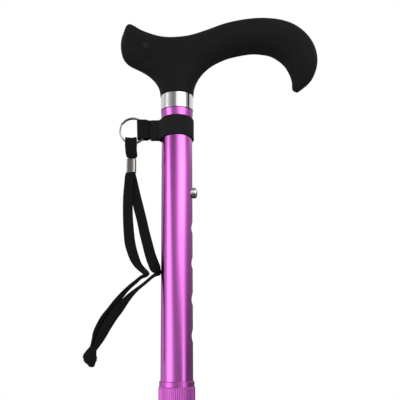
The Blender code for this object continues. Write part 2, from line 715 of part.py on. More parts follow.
def make_glide_bush():
    """Plastic bush in the lower tube's mouth that keeps it from rattling."""
    look = material("black_acetal", (0.02, 0.02, 0.02), 0.45)
    head = UPPER_BORE / 2 - GAP
    shank = LOWER_BORE / 2 - GAP
    under = LOWER_TOP + GAP
    profile = [(head - COLLAR_EDGE, under + BUSH_HEAD), (head, under + BUSH_HEAD - COLLAR_EDGE)]
    profile += [(head, under), (shank, under), (shank, under + BUSH_HEAD - BUSH_LENGTH)]
    profile += [(shank - BUSH_WALL, under + BUSH_HEAD - BUSH_LENGTH)]
    profile += [(shank - BUSH_WALL, under + BUSH_HEAD)]
    return turned("glide_bush", profile, look)


def button_flange_x():
    """The front of the button's flange, just clear of the lower tube's round bore."""
    rim = BUTTON_DIAMETER / 2 + BUTTON_RIM
    return math.sqrt((LOWER_BORE / 2) ** 2 - rim**2) - FLANGE_CLEARANCE


def make_snap_button():
    """Domed steel button, flanged so that it can't leave the lower tube."""
    look = material("bright_steel", (0.7, 0.7, 0.7), 0.15, 1.0)
    radius = BUTTON_DIAMETER / 2
    tip = UPPER_DIAMETER / 2 + BUTTON_STANDS_OUT
    profile = []
    for angle in np.linspace(0, math.pi / 2, 7):
        profile.append((radius * math.sin(angle), tip - BUTTON_DOME * (1 - math.cos(angle))))
    front = button_flange_x()
    flange = radius + BUTTON_RIM
    profile += [(radius, front), (flange, front), (flange, front - BUTTON_FLANGE)]
    profile += [(0, front - BUTTON_FLANGE)]
    return turned("snap_button", profile, look, (0, 0, BUTTON_Z), (0, 90, 0), FINE_STEPS, False)


def make_button_spring():
    """Leaf clip in the lower tube: one leg behind the button, the other on the far wall."""
    look = material("spring_steel", (0.45, 0.45, 0.47), 0.3, 1.0)
    front = button_flange_x() - BUTTON_FLANGE - GAP - CLIP_THICKNESS / 2
    reach = math.sqrt((LOWER_BORE / 2 - GAP) ** 2 - (CLIP_WIDTH / 2) ** 2)
    back = CLIP_THICKNESS / 2 - reach
    middle = back + CLIP_BEND
    line = [(front, CLIP_ABOVE), (front, -CLIP_STRAIGHT)]
    for angle in np.linspace(0, math.pi, 9):
        low = -CLIP_BELOW + CLIP_BEND - CLIP_BEND * math.sin(angle)
        line.append((middle + CLIP_BEND * math.cos(angle), low))
    line.append((back, -CLIP_HEEL))
    path = [(x, 0, z) for x, z in line]
    place = (0, 0, BUTTON_Z)
    return bent_sheet("button_spring", path, (0, CLIP_WIDTH, 0), CLIP_THICKNESS, look, place)


def make_lock_nut():
    """Fluted nut over the foot of the upper tube that squeezes the clamp ring."""
    look = material("purple_anodised_nut", (0.3, 0.06, 0.28), 0.25, 1.0)
    grip = NUT_BORE + NUT_GRIP_WALL
    neck = NUT_BORE + NUT_NECK_WALL
    shoulder = NUT_TOP - NUT_NECK_HEIGHT
    seat = TUBE_FOOT - GAP
    cone_foot = NUT_BORE - CLAMP_TAPER
    ledge = seat - CLAMP_LENGTH - GAP
    foot_bore = LOWER_DIAMETER / 2 + 2 * GAP
    profile = [(NUT_BORE + NUT_MOUTH_WALL, NUT_TOP), (neck, shoulder)]
    profile += [(grip, shoulder - COLLAR_EDGE)]
    profile += [(grip, NUT_FOOT + NUT_FOOT_HEIGHT), (neck, NUT_FOOT), (foot_bore, NUT_FOOT)]
    profile += [(foot_bore, ledge), (cone_foot, ledge), (NUT_BORE, seat), (NUT_BORE, NUT_TOP)]
    nut = turned("lock_nut", profile, look)
    places = []
    ring = grip + NUT_FLUTE_RADIUS - NUT_FLUTE_DEPTH
    for flute in range(NUT_FLUTES):
        angle = 2 * math.pi * flute / NUT_FLUTES
        places.append((ring * math.cos(angle), ring * math.sin(angle), (NUT_TOP + NUT_FOOT) / 2))
    no_turn = Matrix.Identity(4)
    width = 2 * NUT_FLUTE_RADIUS
    mesh = mesh_from("flutes", cylinders, width, NUT_LENGTH + REACH_PAST, places, no_turn, 6)
    cut(nut, add_cutter("nut_flutes", mesh))
    return nut


def make_clamp_ring():
    """Split plastic ring that the nut's cone closes on the lower tube."""
    look = material("grey_acetal", (0.3, 0.3, 0.31), 0.5)
    bore = LOWER_DIAMETER / 2 + GAP
    top = TUBE_FOOT - 2 * GAP
    foot = top - CLAMP_LENGTH + GAP
    outer_top = NUT_BORE - GAP
    outer_foot = outer_top - CLAMP_TAPER
    profile = [(outer_top, top), (outer_foot, foot), (bore, foot), (bore, top)]
    ring = turned("clamp_ring", profile, look)
    low = (-CLAMP_SLIT / 2, 0, foot - REACH_PAST)
    high = (CLAMP_SLIT / 2, outer_top + REACH_PAST, top + REACH_PAST)
    cut(ring, add_cutter("clamp_slit", mesh_from("slit", box, low, high)))
    return ring


def make_ferrule():
    """Rubber foot with a beaded mouth, a spreading skirt and ring grooves in its tread."""
    look = material("black_rubber", (0.02, 0.02, 0.02), 0.8)
    bore = LOWER_DIAMETER / 2 + GAP
    waist = bore + FERRULE_WALL
    bead = waist + FERRULE_BEAD
    tread = FERRULE_TREAD_DIAMETER / 2
    profile = [(0, FERRULE_SOLE), (bore, FERRULE_SOLE), (bore, FERRULE_HEIGHT)]
    profile += [(bead - FERRULE_BEAD, FERRULE_HEIGHT), (bead, FERRULE_HEIGHT - FERRULE_BEAD)]
    profile += [(bead, FERRULE_HEIGHT - FERRULE_BEAD_HEIGHT)]
    profile += [(waist, FERRULE_HEIGHT - FERRULE_BEAD_HEIGHT - FERRULE_BEAD)]
    for share in np.linspace(0, 1, 7):
        spread = waist + (tread - waist) * share**2
        profile.append((spread, FERRULE_TREAD_HEIGHT + FERRULE_SKIRT * (1 - share)))
    profile += [(tread, TREAD_EDGE), (tread - TREAD_EDGE, 0)]
    radius = tread - TREAD_EDGE
    while radius - TREAD_RIB - TREAD_GROOVE > TREAD_PAD_DIAMETER / 2:
        rib = radius - TREAD_RIB
        radius = rib - TREAD_GROOVE
        profile += [(rib, 0), (rib, TREAD_GROOVE_DEPTH), (radius, TREAD_GROOVE_DEPTH), (radius, 0)]
    profile.append((0, 0))
    return turned("ferrule", profile, look, closed=False)


def make_ferrule_washer():
    """Steel washer that keeps the tube from cutting through the rubber."""
    look = material("zinc_washer", (0.55, 0.55, 0.55), 0.4, 1.0)
    foot = FERRULE_SOLE + GAP
    profile = tube_profile(LOWER_DIAMETER, WASHER_HOLE, foot + WASHER_THICKNESS, foot)
    return turned("ferrule_washer", profile, look)


def make_strap_band():
    """Elastic band round the upper tube."""
    look = material("black_elastic", (0.025, 0.025, 0.027), 0.85)
    inside = UPPER_DIAMETER / 2 + GAP
    profile = []
    for share in np.linspace(-1, 1, 7):
        swell = inside + BAND_THICKNESS - BAND_CROWN * share**4
        profile.append((swell, BAND_MIDDLE - share * BAND_HEIGHT / 2))
    profile += [(inside, BAND_MIDDLE - BAND_HEIGHT / 2), (inside, BAND_TOP)]
    return turned("strap_band", profile, look)


def make_strap_tab():
    """Webbing folded round the ring and sewn to the band, as an eye with a stem."""
    look = material("black_webbing", (0.018, 0.018, 0.02), 0.85)
    eye = rounded_corners(TAB_EYE_LENGTH, TAB_EYE_WIDTH, TAB_CORNER)
    outer = 2 * TAB_WEBBING
    fold = rounded_corners(TAB_EYE_LENGTH + outer, TAB_EYE_WIDTH + outer, TAB_CORNER + TAB_WEBBING)
    stem_end = -BAND_OUTSIDE - GAP - TAB_EYE_X
    side = TAB_EYE_LENGTH / 2 + TAB_WEBBING
    half = TAB_STEM / 2
    stem = [(side, -half), (stem_end, -half), (stem_end, half), (side, half)]
    place = (TAB_EYE_X, 0, RING_Z)
    return flat_outline("strap_tab", [stem + fold, eye], TAB_HEIGHT, look, place)


def ring_points():
    """Middle of the ring's wire: two flat turns with a step between them, ends at the step."""
    turn = 360
    angles = np.linspace(0, 2 * turn - RING_JOG, 2 * RING_POINTS_A_TURN - 3)
    climb = np.clip((angles - (turn - RING_JOG)) / RING_JOG, 0, 1)
    pitch = RING_WIRE + RING_TURN_GAP
    y = pitch * (climb**2 * (3 - 2 * climb) - 0.5)
    around = np.radians(angles + RING_JOG_AT + RING_JOG)
    x = RING_X + RING_RADIUS * np.cos(around)
    z = RING_Z + RING_RADIUS * np.sin(around)
    return np.column_stack([x, y, z])


def least_gap(points, wire_diameter):
    """Least room between a coil's turns, measured between points half a turn or more apart."""
    apart = np.linalg.norm(points[:, None] - points[None, :], axis=2)
    far = np.abs(np.subtract.outer(range(len(points)), range(len(points)))) > RING_POINTS_A_TURN / 2
    return apart[far].min() - wire_diameter


def make_split_ring():
    """Nickel split ring of two turns."""
    look = material("nickel", (0.6, 0.6, 0.58), 0.2, 1.0)
    points = ring_points()
    print(f"split ring, least gap between turns: {least_gap(points, RING_WIRE) / MM:.2f} mm")
    return wire("split_ring", points, look, RING_WIRE / 2)


def tape_rings(points, axis, turns, shares):
    """Sections of the tape: flat sides and round edges, square to the path and turned about it.

    At a turn of 0 the tape's width lies along the axis, at 90 square to it.
    """
    along = np.gradient(points, axis=0)
    along /= np.linalg.norm(along, axis=1)[:, None]
    beside = np.cross(along, axis)
    beside /= np.linalg.norm(beside, axis=1)[:, None]
    upright = np.cross(beside, along)
    turn = np.radians(turns)[:, None]
    width = np.sin(turn) * beside + np.cos(turn) * upright
    depth = np.cross(along, width)
    radius = TAPE_THICKNESS / 2
    flat = TAPE_WIDTH / 2 - radius
    edge = np.linspace(-math.pi / 2, math.pi / 2, TAPE_EDGE_POINTS)
    across = np.concatenate([flat + radius * np.cos(edge), -flat - radius * np.cos(edge)])
    through = np.concatenate([radius * np.sin(edge), -radius * np.sin(edge)])
    size = np.asarray(shares)[:, None, None]
    offset = across[:, None] * width[:, None] + through[:, None] * depth[:, None]
    return points[:, None] + size * offset


def tape_body(bm, rings):
    """Sections joined into one closed body."""
    rows = [[bm.verts.new(place) for place in ring] for ring in rings]
    count = len(rows[0])
    for row, following in zip(rows, rows[1:]):
        for i in range(count):
            k = (i + 1) % count
            bm.faces.new((row[i], row[k], following[k], following[i]))
    bm.faces.new(rows[0])
    bm.faces.new(rows[-1])
    bmesh.ops.recalc_face_normals(bm, faces=bm.faces)


def tape(name, look, points, axis, turns, shares):
    rings = tape_rings(points, axis, turns, shares)
    return add_part(name, mesh_from(name, tape_body, rings), look)


def make_cord_loop():
    """The cord's top: up the back of the crimp, over the ring's foot and down the front."""
    look = material("black_cord_top", (0.02, 0.018, 0.02), 0.9)
    foot = CRIMP_FOOT + CORD_SPLICE + GAP
    leg = [
        (CRIMP_X, TAPE_LAYER, foot, TAPE_SQUEEZED),
        (CRIMP_X, TAPE_LAYER, CRIMP_TOP + GAP, TAPE_SQUEEZED),
        (CRIMP_X, TAPE_THICKNESS, CRIMP_TOP + CRIMP_FLARE, 1.0),
        (LOOP_X, LOOP_RADIUS - GAP, RING_FOOT_Z - LOOP_LEG, (1 + TAPE_SPREAD) / 2),
    ]
    arch = []
    for angle in np.linspace(0, math.pi, LOOP_ARC_POINTS):
        y = LOOP_RADIUS * math.cos(angle)
        z = RING_FOOT_Z + LOOP_RADIUS * math.sin(angle)
        arch.append((LOOP_X, y, z, TAPE_SPREAD))
    other_leg = [(x, -y, z, width) for x, y, z, width in reversed(leg)]
    rows = np.array(leg + arch + other_leg)
    return tape("cord_loop", look, rows[:, :3], (1, 0, 0), np.zeros(len(rows)), rows[:, 3])


def make_cord_crimp():
    """Nickel sleeve pressed round the two layers, with its seam at the back."""
    look = material("nickel_crimp", (0.62, 0.62, 0.64), 0.25, 1.0)
    length = CRIMP_WIDTH - CRIMP_WALL
    depth = CRIMP_DEPTH - CRIMP_WALL
    around = rounded_corners(length, depth, CRIMP_CORNER)
    half = len(around) // 4
    line = [(CRIMP_SEAM / 2, depth / 2)] + around[:half][::-1]
    line += around[half:][::-1] + [(-CRIMP_SEAM / 2, depth / 2)]
    path = [(x, y, 0) for x, y in line]
    place = (CRIMP_X, 0, (CRIMP_TOP + CRIMP_FOOT) / 2)
    return bent_sheet("cord_crimp", path, (0, 0, CRIMP_HEIGHT), CRIMP_WALL, look, place)


def strand_path(chosen):
    """Places, turns and widths along a strand, on a smooth curve through its chosen points."""
    rows = np.array(chosen, float)
    rows[:, :3] = rows[:, :3] * (MM, TAPE_LAYER, MM) + (CRIMP_X, 0, CRIMP_FOOT)
    knots = knots_of(rows[:, :3])
    inside = [np.linspace(a, b, STRAND_STEPS, endpoint=False) for a, b in zip(knots, knots[1:])]
    read = read_between(rows, knots, np.append(np.concatenate(inside), knots[-1]))
    return read[:, :3], (0, 1, 0), read[:, 3], read[:, 4]


def make_strand(name, chosen):
    """One strand of the cord, from the crimp down to the knot."""
    look = material("black_" + name, (0.02, 0.018, 0.02), 0.9)
    return tape(name, look, *strand_path(chosen))


def lobed_ball(bm, lobe):
    """A ball of unit diameter with lobes that wind round it."""
    bmesh.ops.create_uvsphere(bm, u_segments=16, v_segments=10, radius=0.5)
    for vertex in bm.verts:
        x, y, z = vertex.co
        wind = 2 * math.atan2(y, x) + KNOT_WIND * z
        vertex.co *= 1 + lobe * math.sin(wind) * (1 - 4 * z * z)


def make_cord_knot():
    """Knot that joins the strands' ends."""
    look = material("black_cord_knot", (0.02, 0.018, 0.02), 0.9)
    ends = [strand_path(chosen)[0][-1] for chosen in (STRAND_LEFT, STRAND_RIGHT)]
    lean = math.radians(KNOT_TILT)
    half = KNOT_SIZE[2] / 2 * (1 + KNOT_LOBE)
    low = min(ends[0][2], ends[1][2]) - GAP - half
    place = ((ends[0][0] + ends[1][0]) / 2 - KNOT_SHIFT - half * math.sin(lean), 0, low)
    mesh = mesh_from("cord_knot", lobed_ball, KNOT_LOBE)
    mesh.transform(Matrix.Diagonal((*KNOT_SIZE, 1)))
    return add_part("cord_knot", mesh, look, place, (0, KNOT_TILT, 0))


def build_stick():
    make_handle_skin()
    make_handle_core()
    make_handle_insert()
    make_handle_stud()
    make_tube_plug()
    make_collar()
    make_upper_tube()
    sliding = [make_lower_tube(), make_glide_bush(), make_button_spring()]
    sliding += [make_ferrule(), make_ferrule_washer(), make_snap_button()]
    hang_on("lower_shaft_slide", (0, 0, BUTTON_Z), sliding)
    hang_on("lock_nut_axis", (0, 0, NUT_TOP), [make_lock_nut(), make_clamp_ring()])
    hang_on("strap_axis", (0, 0, BAND_MIDDLE), [make_strap_band(), make_strap_tab()])
    hang_on("ring_axis", (TAB_EYE_X, 0, RING_Z), [make_split_ring()])
    strands = [make_strand("strand_left", STRAND_LEFT), make_strand("strand_right", STRAND_RIGHT)]
    cord = [make_cord_loop(), make_cord_crimp(), make_cord_knot()]
    hang_on("cord_axis", (RING_X, 0, RING_FOOT_Z), cord + strands)


build_stick()
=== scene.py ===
"""Finished looks of the walking stick: camera, light, floor, and a surface for every piece.

Every new piece is computed where it stands in the frame: metres, +Z up the shaft, +X along the
handle's long arm, the origin in the middle of the ferrule's tread. The camera looks along +Y.
A sheet is a grid of points (x, y, z), or (x, y, z, u, v) where a pattern follows the surface.
"""

import math

import bmesh
import bpy
import numpy as np
from mathutils import Matrix, Vector


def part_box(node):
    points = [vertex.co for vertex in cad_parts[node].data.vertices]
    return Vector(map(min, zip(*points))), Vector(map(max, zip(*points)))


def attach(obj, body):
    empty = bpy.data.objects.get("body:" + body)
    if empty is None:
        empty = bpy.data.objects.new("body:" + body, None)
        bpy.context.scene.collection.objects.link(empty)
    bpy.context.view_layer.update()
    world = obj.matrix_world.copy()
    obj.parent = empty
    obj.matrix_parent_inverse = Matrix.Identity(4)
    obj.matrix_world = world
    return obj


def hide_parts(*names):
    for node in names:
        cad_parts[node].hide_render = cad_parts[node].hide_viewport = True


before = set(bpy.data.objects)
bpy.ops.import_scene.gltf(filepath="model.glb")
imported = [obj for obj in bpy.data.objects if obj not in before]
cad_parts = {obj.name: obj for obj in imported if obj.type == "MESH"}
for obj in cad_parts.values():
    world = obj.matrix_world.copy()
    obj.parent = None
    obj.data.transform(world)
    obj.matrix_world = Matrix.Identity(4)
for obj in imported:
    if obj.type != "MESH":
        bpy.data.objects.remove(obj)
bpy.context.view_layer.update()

bl_info = {
    "name": "Walking stick looks",
    "version": (1, 0, 0),
    "blender": (4, 5, 0),
    "location": "3D View > Sidebar > Walking stick",
    "description": "Builds the camera, the stage and the finished surfaces of a walking stick",
    "category": "Object",
}

MM = 0.001
FULL_TURN = 2 * math.pi
MERGE = 0.001 * MM  # points this close become one
BAR_STEPS = 128  # faces round the shaft
SMALL_STEPS = 64  # faces round a small turned piece


def size(name, millimetres, description):
    """A length that the sidebar shows and that the script reads in metres."""
    return bpy.props.FloatProperty(
        name=name, description=description, default=millimetres * MM, unit="LENGTH", precision=5
    )


def share(name, value, description, unit="NONE"):
    return bpy.props.FloatProperty(name=name, description=description, default=value, unit=unit)


def angle(name, degrees, description):
    return bpy.props.FloatProperty(
        name=name, description=description, default=math.radians(degrees), subtype="ANGLE"
    )


def colour(name, red, green, blue, description):
    return bpy.props.FloatVectorProperty(
        name=name, description=description, default=(red, green, blue), size=3, subtype="COLOR"
    )


def whole(name, value, description):
    return bpy.props.IntProperty(name=name, description=description, default=value)


class HandleSizes(bpy.types.PropertyGroup):
    """Sizes of the derby handle."""

    reach: size("Reach", 106.4, "Shaft axis to the far end of the arm")
    nose: size("Nose", 42.7, "Shaft axis to the end of the nose")
    lift: size("Lift", 0.3, "Top of the collar to the foot of the cover")
    rise: size("Rise", 62.1, "Foot of the cover to the top of the palm rest")
    width: size("Width", 26.0, "Across the palm")
    cover: size("Cover", 1.6, "Thickness of the soft cover")
    neck: size("Neck", 24.9, "Diameter at the collar")
    nose_run: size("Nose flare run", 46.0, "Length of the quarter ellipse under the nose")
    nose_rise: size("Nose flare rise", 28.0, "Height of the quarter ellipse under the nose")
    arm_run: size("Arm flare run", 46.5, "Length of the quarter ellipse under the arm")
    arm_rise: size("Arm flare rise", 34.2, "Height of the quarter ellipse under the arm")
    blend: size("Blend", 5.0, "Softness of the joint between neck and crook")
    mark: size("Mark", 4.3, "Diameter of the mould's round mark on the nose")
    mark_x: size("Mark, along X", -23.0, "Shaft axis to the middle of the mark")
    mark_z: size("Mark, along Z", 36.2, "Foot of the cover to the middle of the mark")


class ShaftSizes(bpy.types.PropertyGroup):
    """Sizes of the collar, the tubes, the button, the lock nut and the ferrule."""

    tube: size("Upper tube", 22.5, "Outside diameter of the upper tube")
    wall: size("Wall", 1.2, "Wall of both tubes")
    lip_height: size("Lip height", 5.4, "Height in which the lip tapers by three quarters")
    gap: size("Gap", 0.3, "Room left between faces that touch")
    seam: size("Seam", 0.45, "Room between the collar and the lip")
    hole: size("Hole", 8.2, "Diameter of the setting holes")
    pitch: size("Pitch", 25.4, "From one setting hole to the next")
    holes: whole("Holes", 5, "Number of setting holes")
    lower: size("Lower tube", 19.0, "Outside diameter of the lower tube")
    lower_hole: size("Lower hole", 8.0, "Diameter of the lower tube's hole")
    collar: size("Collar", 24.0, "Outside diameter of the collar")
    button: size("Button", 7.6, "Diameter of the button")
    dome: size("Dome", 2.0, "Height of the button's rounded end")
    flange: size("Flange", 9.2, "Diameter of the button's flange")
    nut_bore: size("Nut bore", 22.9, "Diameter that passes over the upper tube")
    nut_neck: size("Nut neck", 24.2, "Diameter of the nut's smooth top")
    nut_grip: size("Nut grip", 25.3, "Diameter over the nut's flutes")
    nut_rise: size("Nut rise", 0.65, "How far the nut's neck stands above its solid")
    nut_neck_height: size("Nut neck height", 3.8, "Height of the nut's smooth top")
    flutes: whole("Flutes", 56, "Flutes round the nut")
    flute_depth: size("Flute depth", 0.26, "Depth of a flute")
    flute_radius: size("Flute radius", 0.7, "Radius of the cutter of a flute")
    ferrule_waist: size("Ferrule waist", 24.8, "Diameter of the ferrule's waist")
    ferrule_bead: size("Ferrule bead", 26.4, "Diameter of the ferrule's beaded mouth")


class StrapSizes(bpy.types.PropertyGroup):
    """Sizes of the band, the tab, the split ring and the cord."""

    band: size("Band", 0.95, "Thickness of the elastic")
    band_rib: size("Band rib", 1.5, "From one of the elastic's ribs to the next")
    pinch: size("Pinch", 13.1, "Shaft axis to where the band's ends come together")
    tilt: angle("Band tilt", 6.7, "The band leans, its front up")
    tilt_drop: size("Band drop", 1.4, "Drop of the tilted band beside the shaft")
    sewn: size("Sewn ends", 6.3, "Length of the band's ends, sewn to the tab")
    webbing: size("Webbing", 0.8, "Thickness of the tab's webbing")
    eye: size("Eye", 3.3, "Middle of the tab to the middle of its webbing, round the ring")
    fold_lean: size("Fold lean", 0.5, "How far the tab's fold leans in at its foot")
    ring_wire: size("Ring wire", 1.2, "Diameter of the ring's wire")
    ring: size("Ring", 19.1, "Diameter of the ring, at the middle of its wire")
    ring_gap: size("Ring gap", 0.5, "Room between the ring's turns")
    tape: size("Tape", 7.0, "Width of the cord")
    tape_thick: size("Tape thickness", 1.3, "Thickness of the cord")
    loop: size("Loop", 3.55, "Radius of the cord's bend over the ring")
    layer: size("Layer", 0.85, "Middle of the crimp to the middle of a layer of cord")
    crimp_wall: size("Crimp wall", 0.5, "Thickness of the crimp")
    crimp_turn: angle("Crimp turn", -7.0, "Turn of the crimp about the cord")
    thread: size("Thread", 0.36, "Diameter of the sewing thread")


class StickColours(bpy.types.PropertyGroup):
    """Colours of the pieces, as they are lit by plain white light."""

    rubber: colour("Soft rubber", 0.0095, 0.0096, 0.0104, "Handle cover")
    chrome: colour("Chrome", 0.56, 0.56, 0.555, "Collar")
    anodised: colour("Anodised", 0.455, 0.110, 0.435, "Both tubes")
    nut: colour("Anodised nut", 0.42, 0.092, 0.39, "Lock nut")
    steel: colour("Steel", 0.62, 0.58, 0.53, "Button")
    nickel: colour("Nickel", 0.32, 0.30, 0.27, "Ring")
    sleeve: colour("Sleeve", 0.215, 0.198, 0.188, "Crimp")
    elastic: colour("Elastic", 0.010, 0.0102, 0.011, "Band")
    cord: colour("Cord", 0.0058, 0.0050, 0.0051, "Tab and cord")
    ferrule: colour("Ferrule", 0.016, 0.016, 0.017, "Ferrule")


class StageSizes(bpy.types.PropertyGroup):
    """The camera, the light and the floor."""

    lens: share("Lens", 59.66, "Focal length on a 36 mm sensor", "CAMERA")
    tilt: angle("Tilt", 11.63, "How far the camera looks up")
    roll: angle("Roll", -0.38, "How far the camera leans")
    left_box: share("Left softbox", 3.0, "Brightness of the left softbox in reflections")
    strip: share("Strip light", 1.9, "Brightness of the strip light on the right in reflections")
    right_box: share("Right softbox", -1.53, "Brightness of the high right softbox at eye level")
    wall: share("Wall", 0.42, "Brightness of the pale wall beyond the left softbox")
    room: share("Room", 0.55, "Brightness of the dim room in reflections")
    sky: share("Sky", 0.55, "Plain light from all sides on matt surfaces")
    floor: size("Floor", 1500.0, "Radius of the floor")


EYE = Vector((0.01675, -0.4715, 0.6015))  # the camera's place


# Grids and outlines


def stacked(*parts):
    """Numbers side by side, such as a point's x, y and z, from arrays of shapes that fit."""
    return np.stack(np.broadcast_arrays(*parts), axis=-1)


def unit(vectors):
    return vectors / np.linalg.norm(vectors, axis=-1, keepdims=True)


def around_z(radius, turn, height):
    """Points round Z: x = r cos a, y = r sin a, z = h."""
    return stacked(radius * np.cos(turn), radius * np.sin(turn), height)


def turned(line, steps=BAR_STEPS):
    """A profile of (radius, height) carried round Z."""
    radius, height = np.array(line).T[:, :, None]
    return around_z(radius, np.linspace(0, FULL_TURN, steps + 1), height)


def piece(name, sheets, look, sharp=35):
    """An object made of sheets: faces join neighbours on each grid, and edges that meet are merged."""
    faces = []
    rows = []
    start = 0
    for sheet in sheets:
        index = start + np.arange(sheet[..., 0].size).reshape(sheet.shape[:2])
        corners = stacked(index[:-1, :-1], index[1:, :-1], index[1:, 1:], index[:-1, 1:])
        faces.append(corners.reshape(-1, 4))
        rows.append(np.pad(sheet, ((0, 0), (0, 0), (0, 5 - sheet.shape[2]))).reshape(-1, 5))
        start += index.size
    faces = np.concatenate(faces)
    rows = np.concatenate(rows)
    mesh = bpy.data.meshes.new(name)
    mesh.from_pydata(rows[:, :3].tolist(), [], faces.tolist())
    layer = mesh.uv_layers.new(name="UVMap")
    layer.data.foreach_set("uv", rows[faces.ravel(), 3:].ravel())
    bm = bmesh.new()
    bm.from_mesh(mesh)
    bmesh.ops.remove_doubles(bm, verts=bm.verts, dist=MERGE)
    bmesh.ops.recalc_face_normals(bm, faces=bm.faces)
    bm.to_mesh(mesh)
    bm.free()
    if not mesh.polygons:
        raise RuntimeError(f"{name} has no faces")
    mesh.shade_smooth()
    mesh.set_sharp_from_angle(angle=math.radians(sharp))
    mesh.materials.append(look)
    return linked(name, mesh)


def linked(name, data):
    """A new object in the scene."""
    made = bpy.data.objects.new(name, data)
    bpy.context.scene.collection.objects.link(made)
    return made


def stand_in(name, body, node, sheets, look, sharp=35):
    """A piece that rides on a body and takes a node's place."""
    made = piece(name, sheets, look, sharp)
    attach(made, body)
    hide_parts(node)
    return made


def filleted(corners, steps=6):
    """A line through corners (x, y, radius): each is rounded on a parabola.

    The parabola starts a radius before the corner and ends a radius after it:
    (1 - t)^2 before + 2 t (1 - t) corner + t^2 after. One more point on either side of it keeps
    the straight stretches shaded as straight.
    """
    most = 0.42  # of a straight stretch, for one fillet
    lead = 1.15  # of a radius, to the point that ends the shading
    places = np.array([corner[:2] for corner in corners], float)
    line = [places[:1]]
    t = np.linspace(0, 1, steps)[:, None]
    for i in range(1, len(corners) - 1):
        radius = corners[i][2] if len(corners[i]) > 2 else 0
        if not radius:
            line.append(places[i : i + 1])
            continue
        back = places[i - 1] - places[i]
        ahead = places[i + 1] - places[i]
        before = back * min(radius / np.linalg.norm(back), most)
        after = ahead * min(radius / np.linalg.norm(ahead), most)
        bend = (1 - t) ** 2 * before + t**2 * after
        line.append(places[i] + np.vstack([lead * before, bend, lead * after]))
    line.append(places[-1:])
    return np.concatenate(line)


def lengths_of(points, power=1.0):
    """How far along a line each of its points lies, each step raised to a power."""
    steps = np.linalg.norm(np.diff(points, axis=0), axis=1) ** power
    return np.concatenate([[0], np.cumsum(steps)])


def evened(rows, step):
    """The same line with points at even steps. What follows a point's x, y and z is read with it."""
    along = lengths_of(rows[:, :3])
    count = max(int(round(along[-1] / step)), 2)
    wanted = np.linspace(0, along[-1], count + 1)
    return np.column_stack([np.interp(wanted, along, column) for column in rows.T])


def read_between(rows, knots, at):
    """Rows of numbers read between their knots, on cubics that lean on both neighbours."""
    slope = np.diff(rows, axis=0) / np.diff(knots)[:, None]
    before = np.diff(knots)[:-1, None]
    after = np.diff(knots)[1:, None]
    inner = (slope[:-1] * after + slope[1:] * before) / (before + after)
    tangent = np.vstack([slope[:1], inner, slope[-1:]])
    i = np.clip(np.searchsorted(knots, at, side="right") - 1, 0, len(knots) - 2)
    width = (knots[i + 1] - knots[i])[:, None]
    t = (at - knots[i])[:, None] / width
    return (
        rows[i] * (2 * t**3 - 3 * t**2 + 1)
        + rows[i + 1] * (3 * t**2 - 2 * t**3)
        + tangent[i] * width * (t**3 - 2 * t**2 + t)
        + tangent[i + 1] * width * (t**3 - t**2)
    )


def smooth_line(chosen, step):
    """Rows of numbers at even steps along the smooth line through the chosen places."""
    rows = np.array(chosen, float)
    knots = lengths_of(rows[:, :3], 0.5)
    return evened(read_between(rows, knots, np.linspace(0, knots[-1], 40 * len(rows))), step)


def eased(share_of_way):
    """From 0 to 1 with level ends: t^2 (3 - 2 t)."""
    t = np.clip(share_of_way, 0, 1)
    return t**2 * (3 - 2 * t)


def axes_along(points, axis):
    """Directions along a line, beside it and square to the axis, and square to both."""
    along = unit(np.gradient(points, axis=0))
    beside = unit(np.cross(along, axis))
    return along, beside, np.cross(beside, along)


# Looks


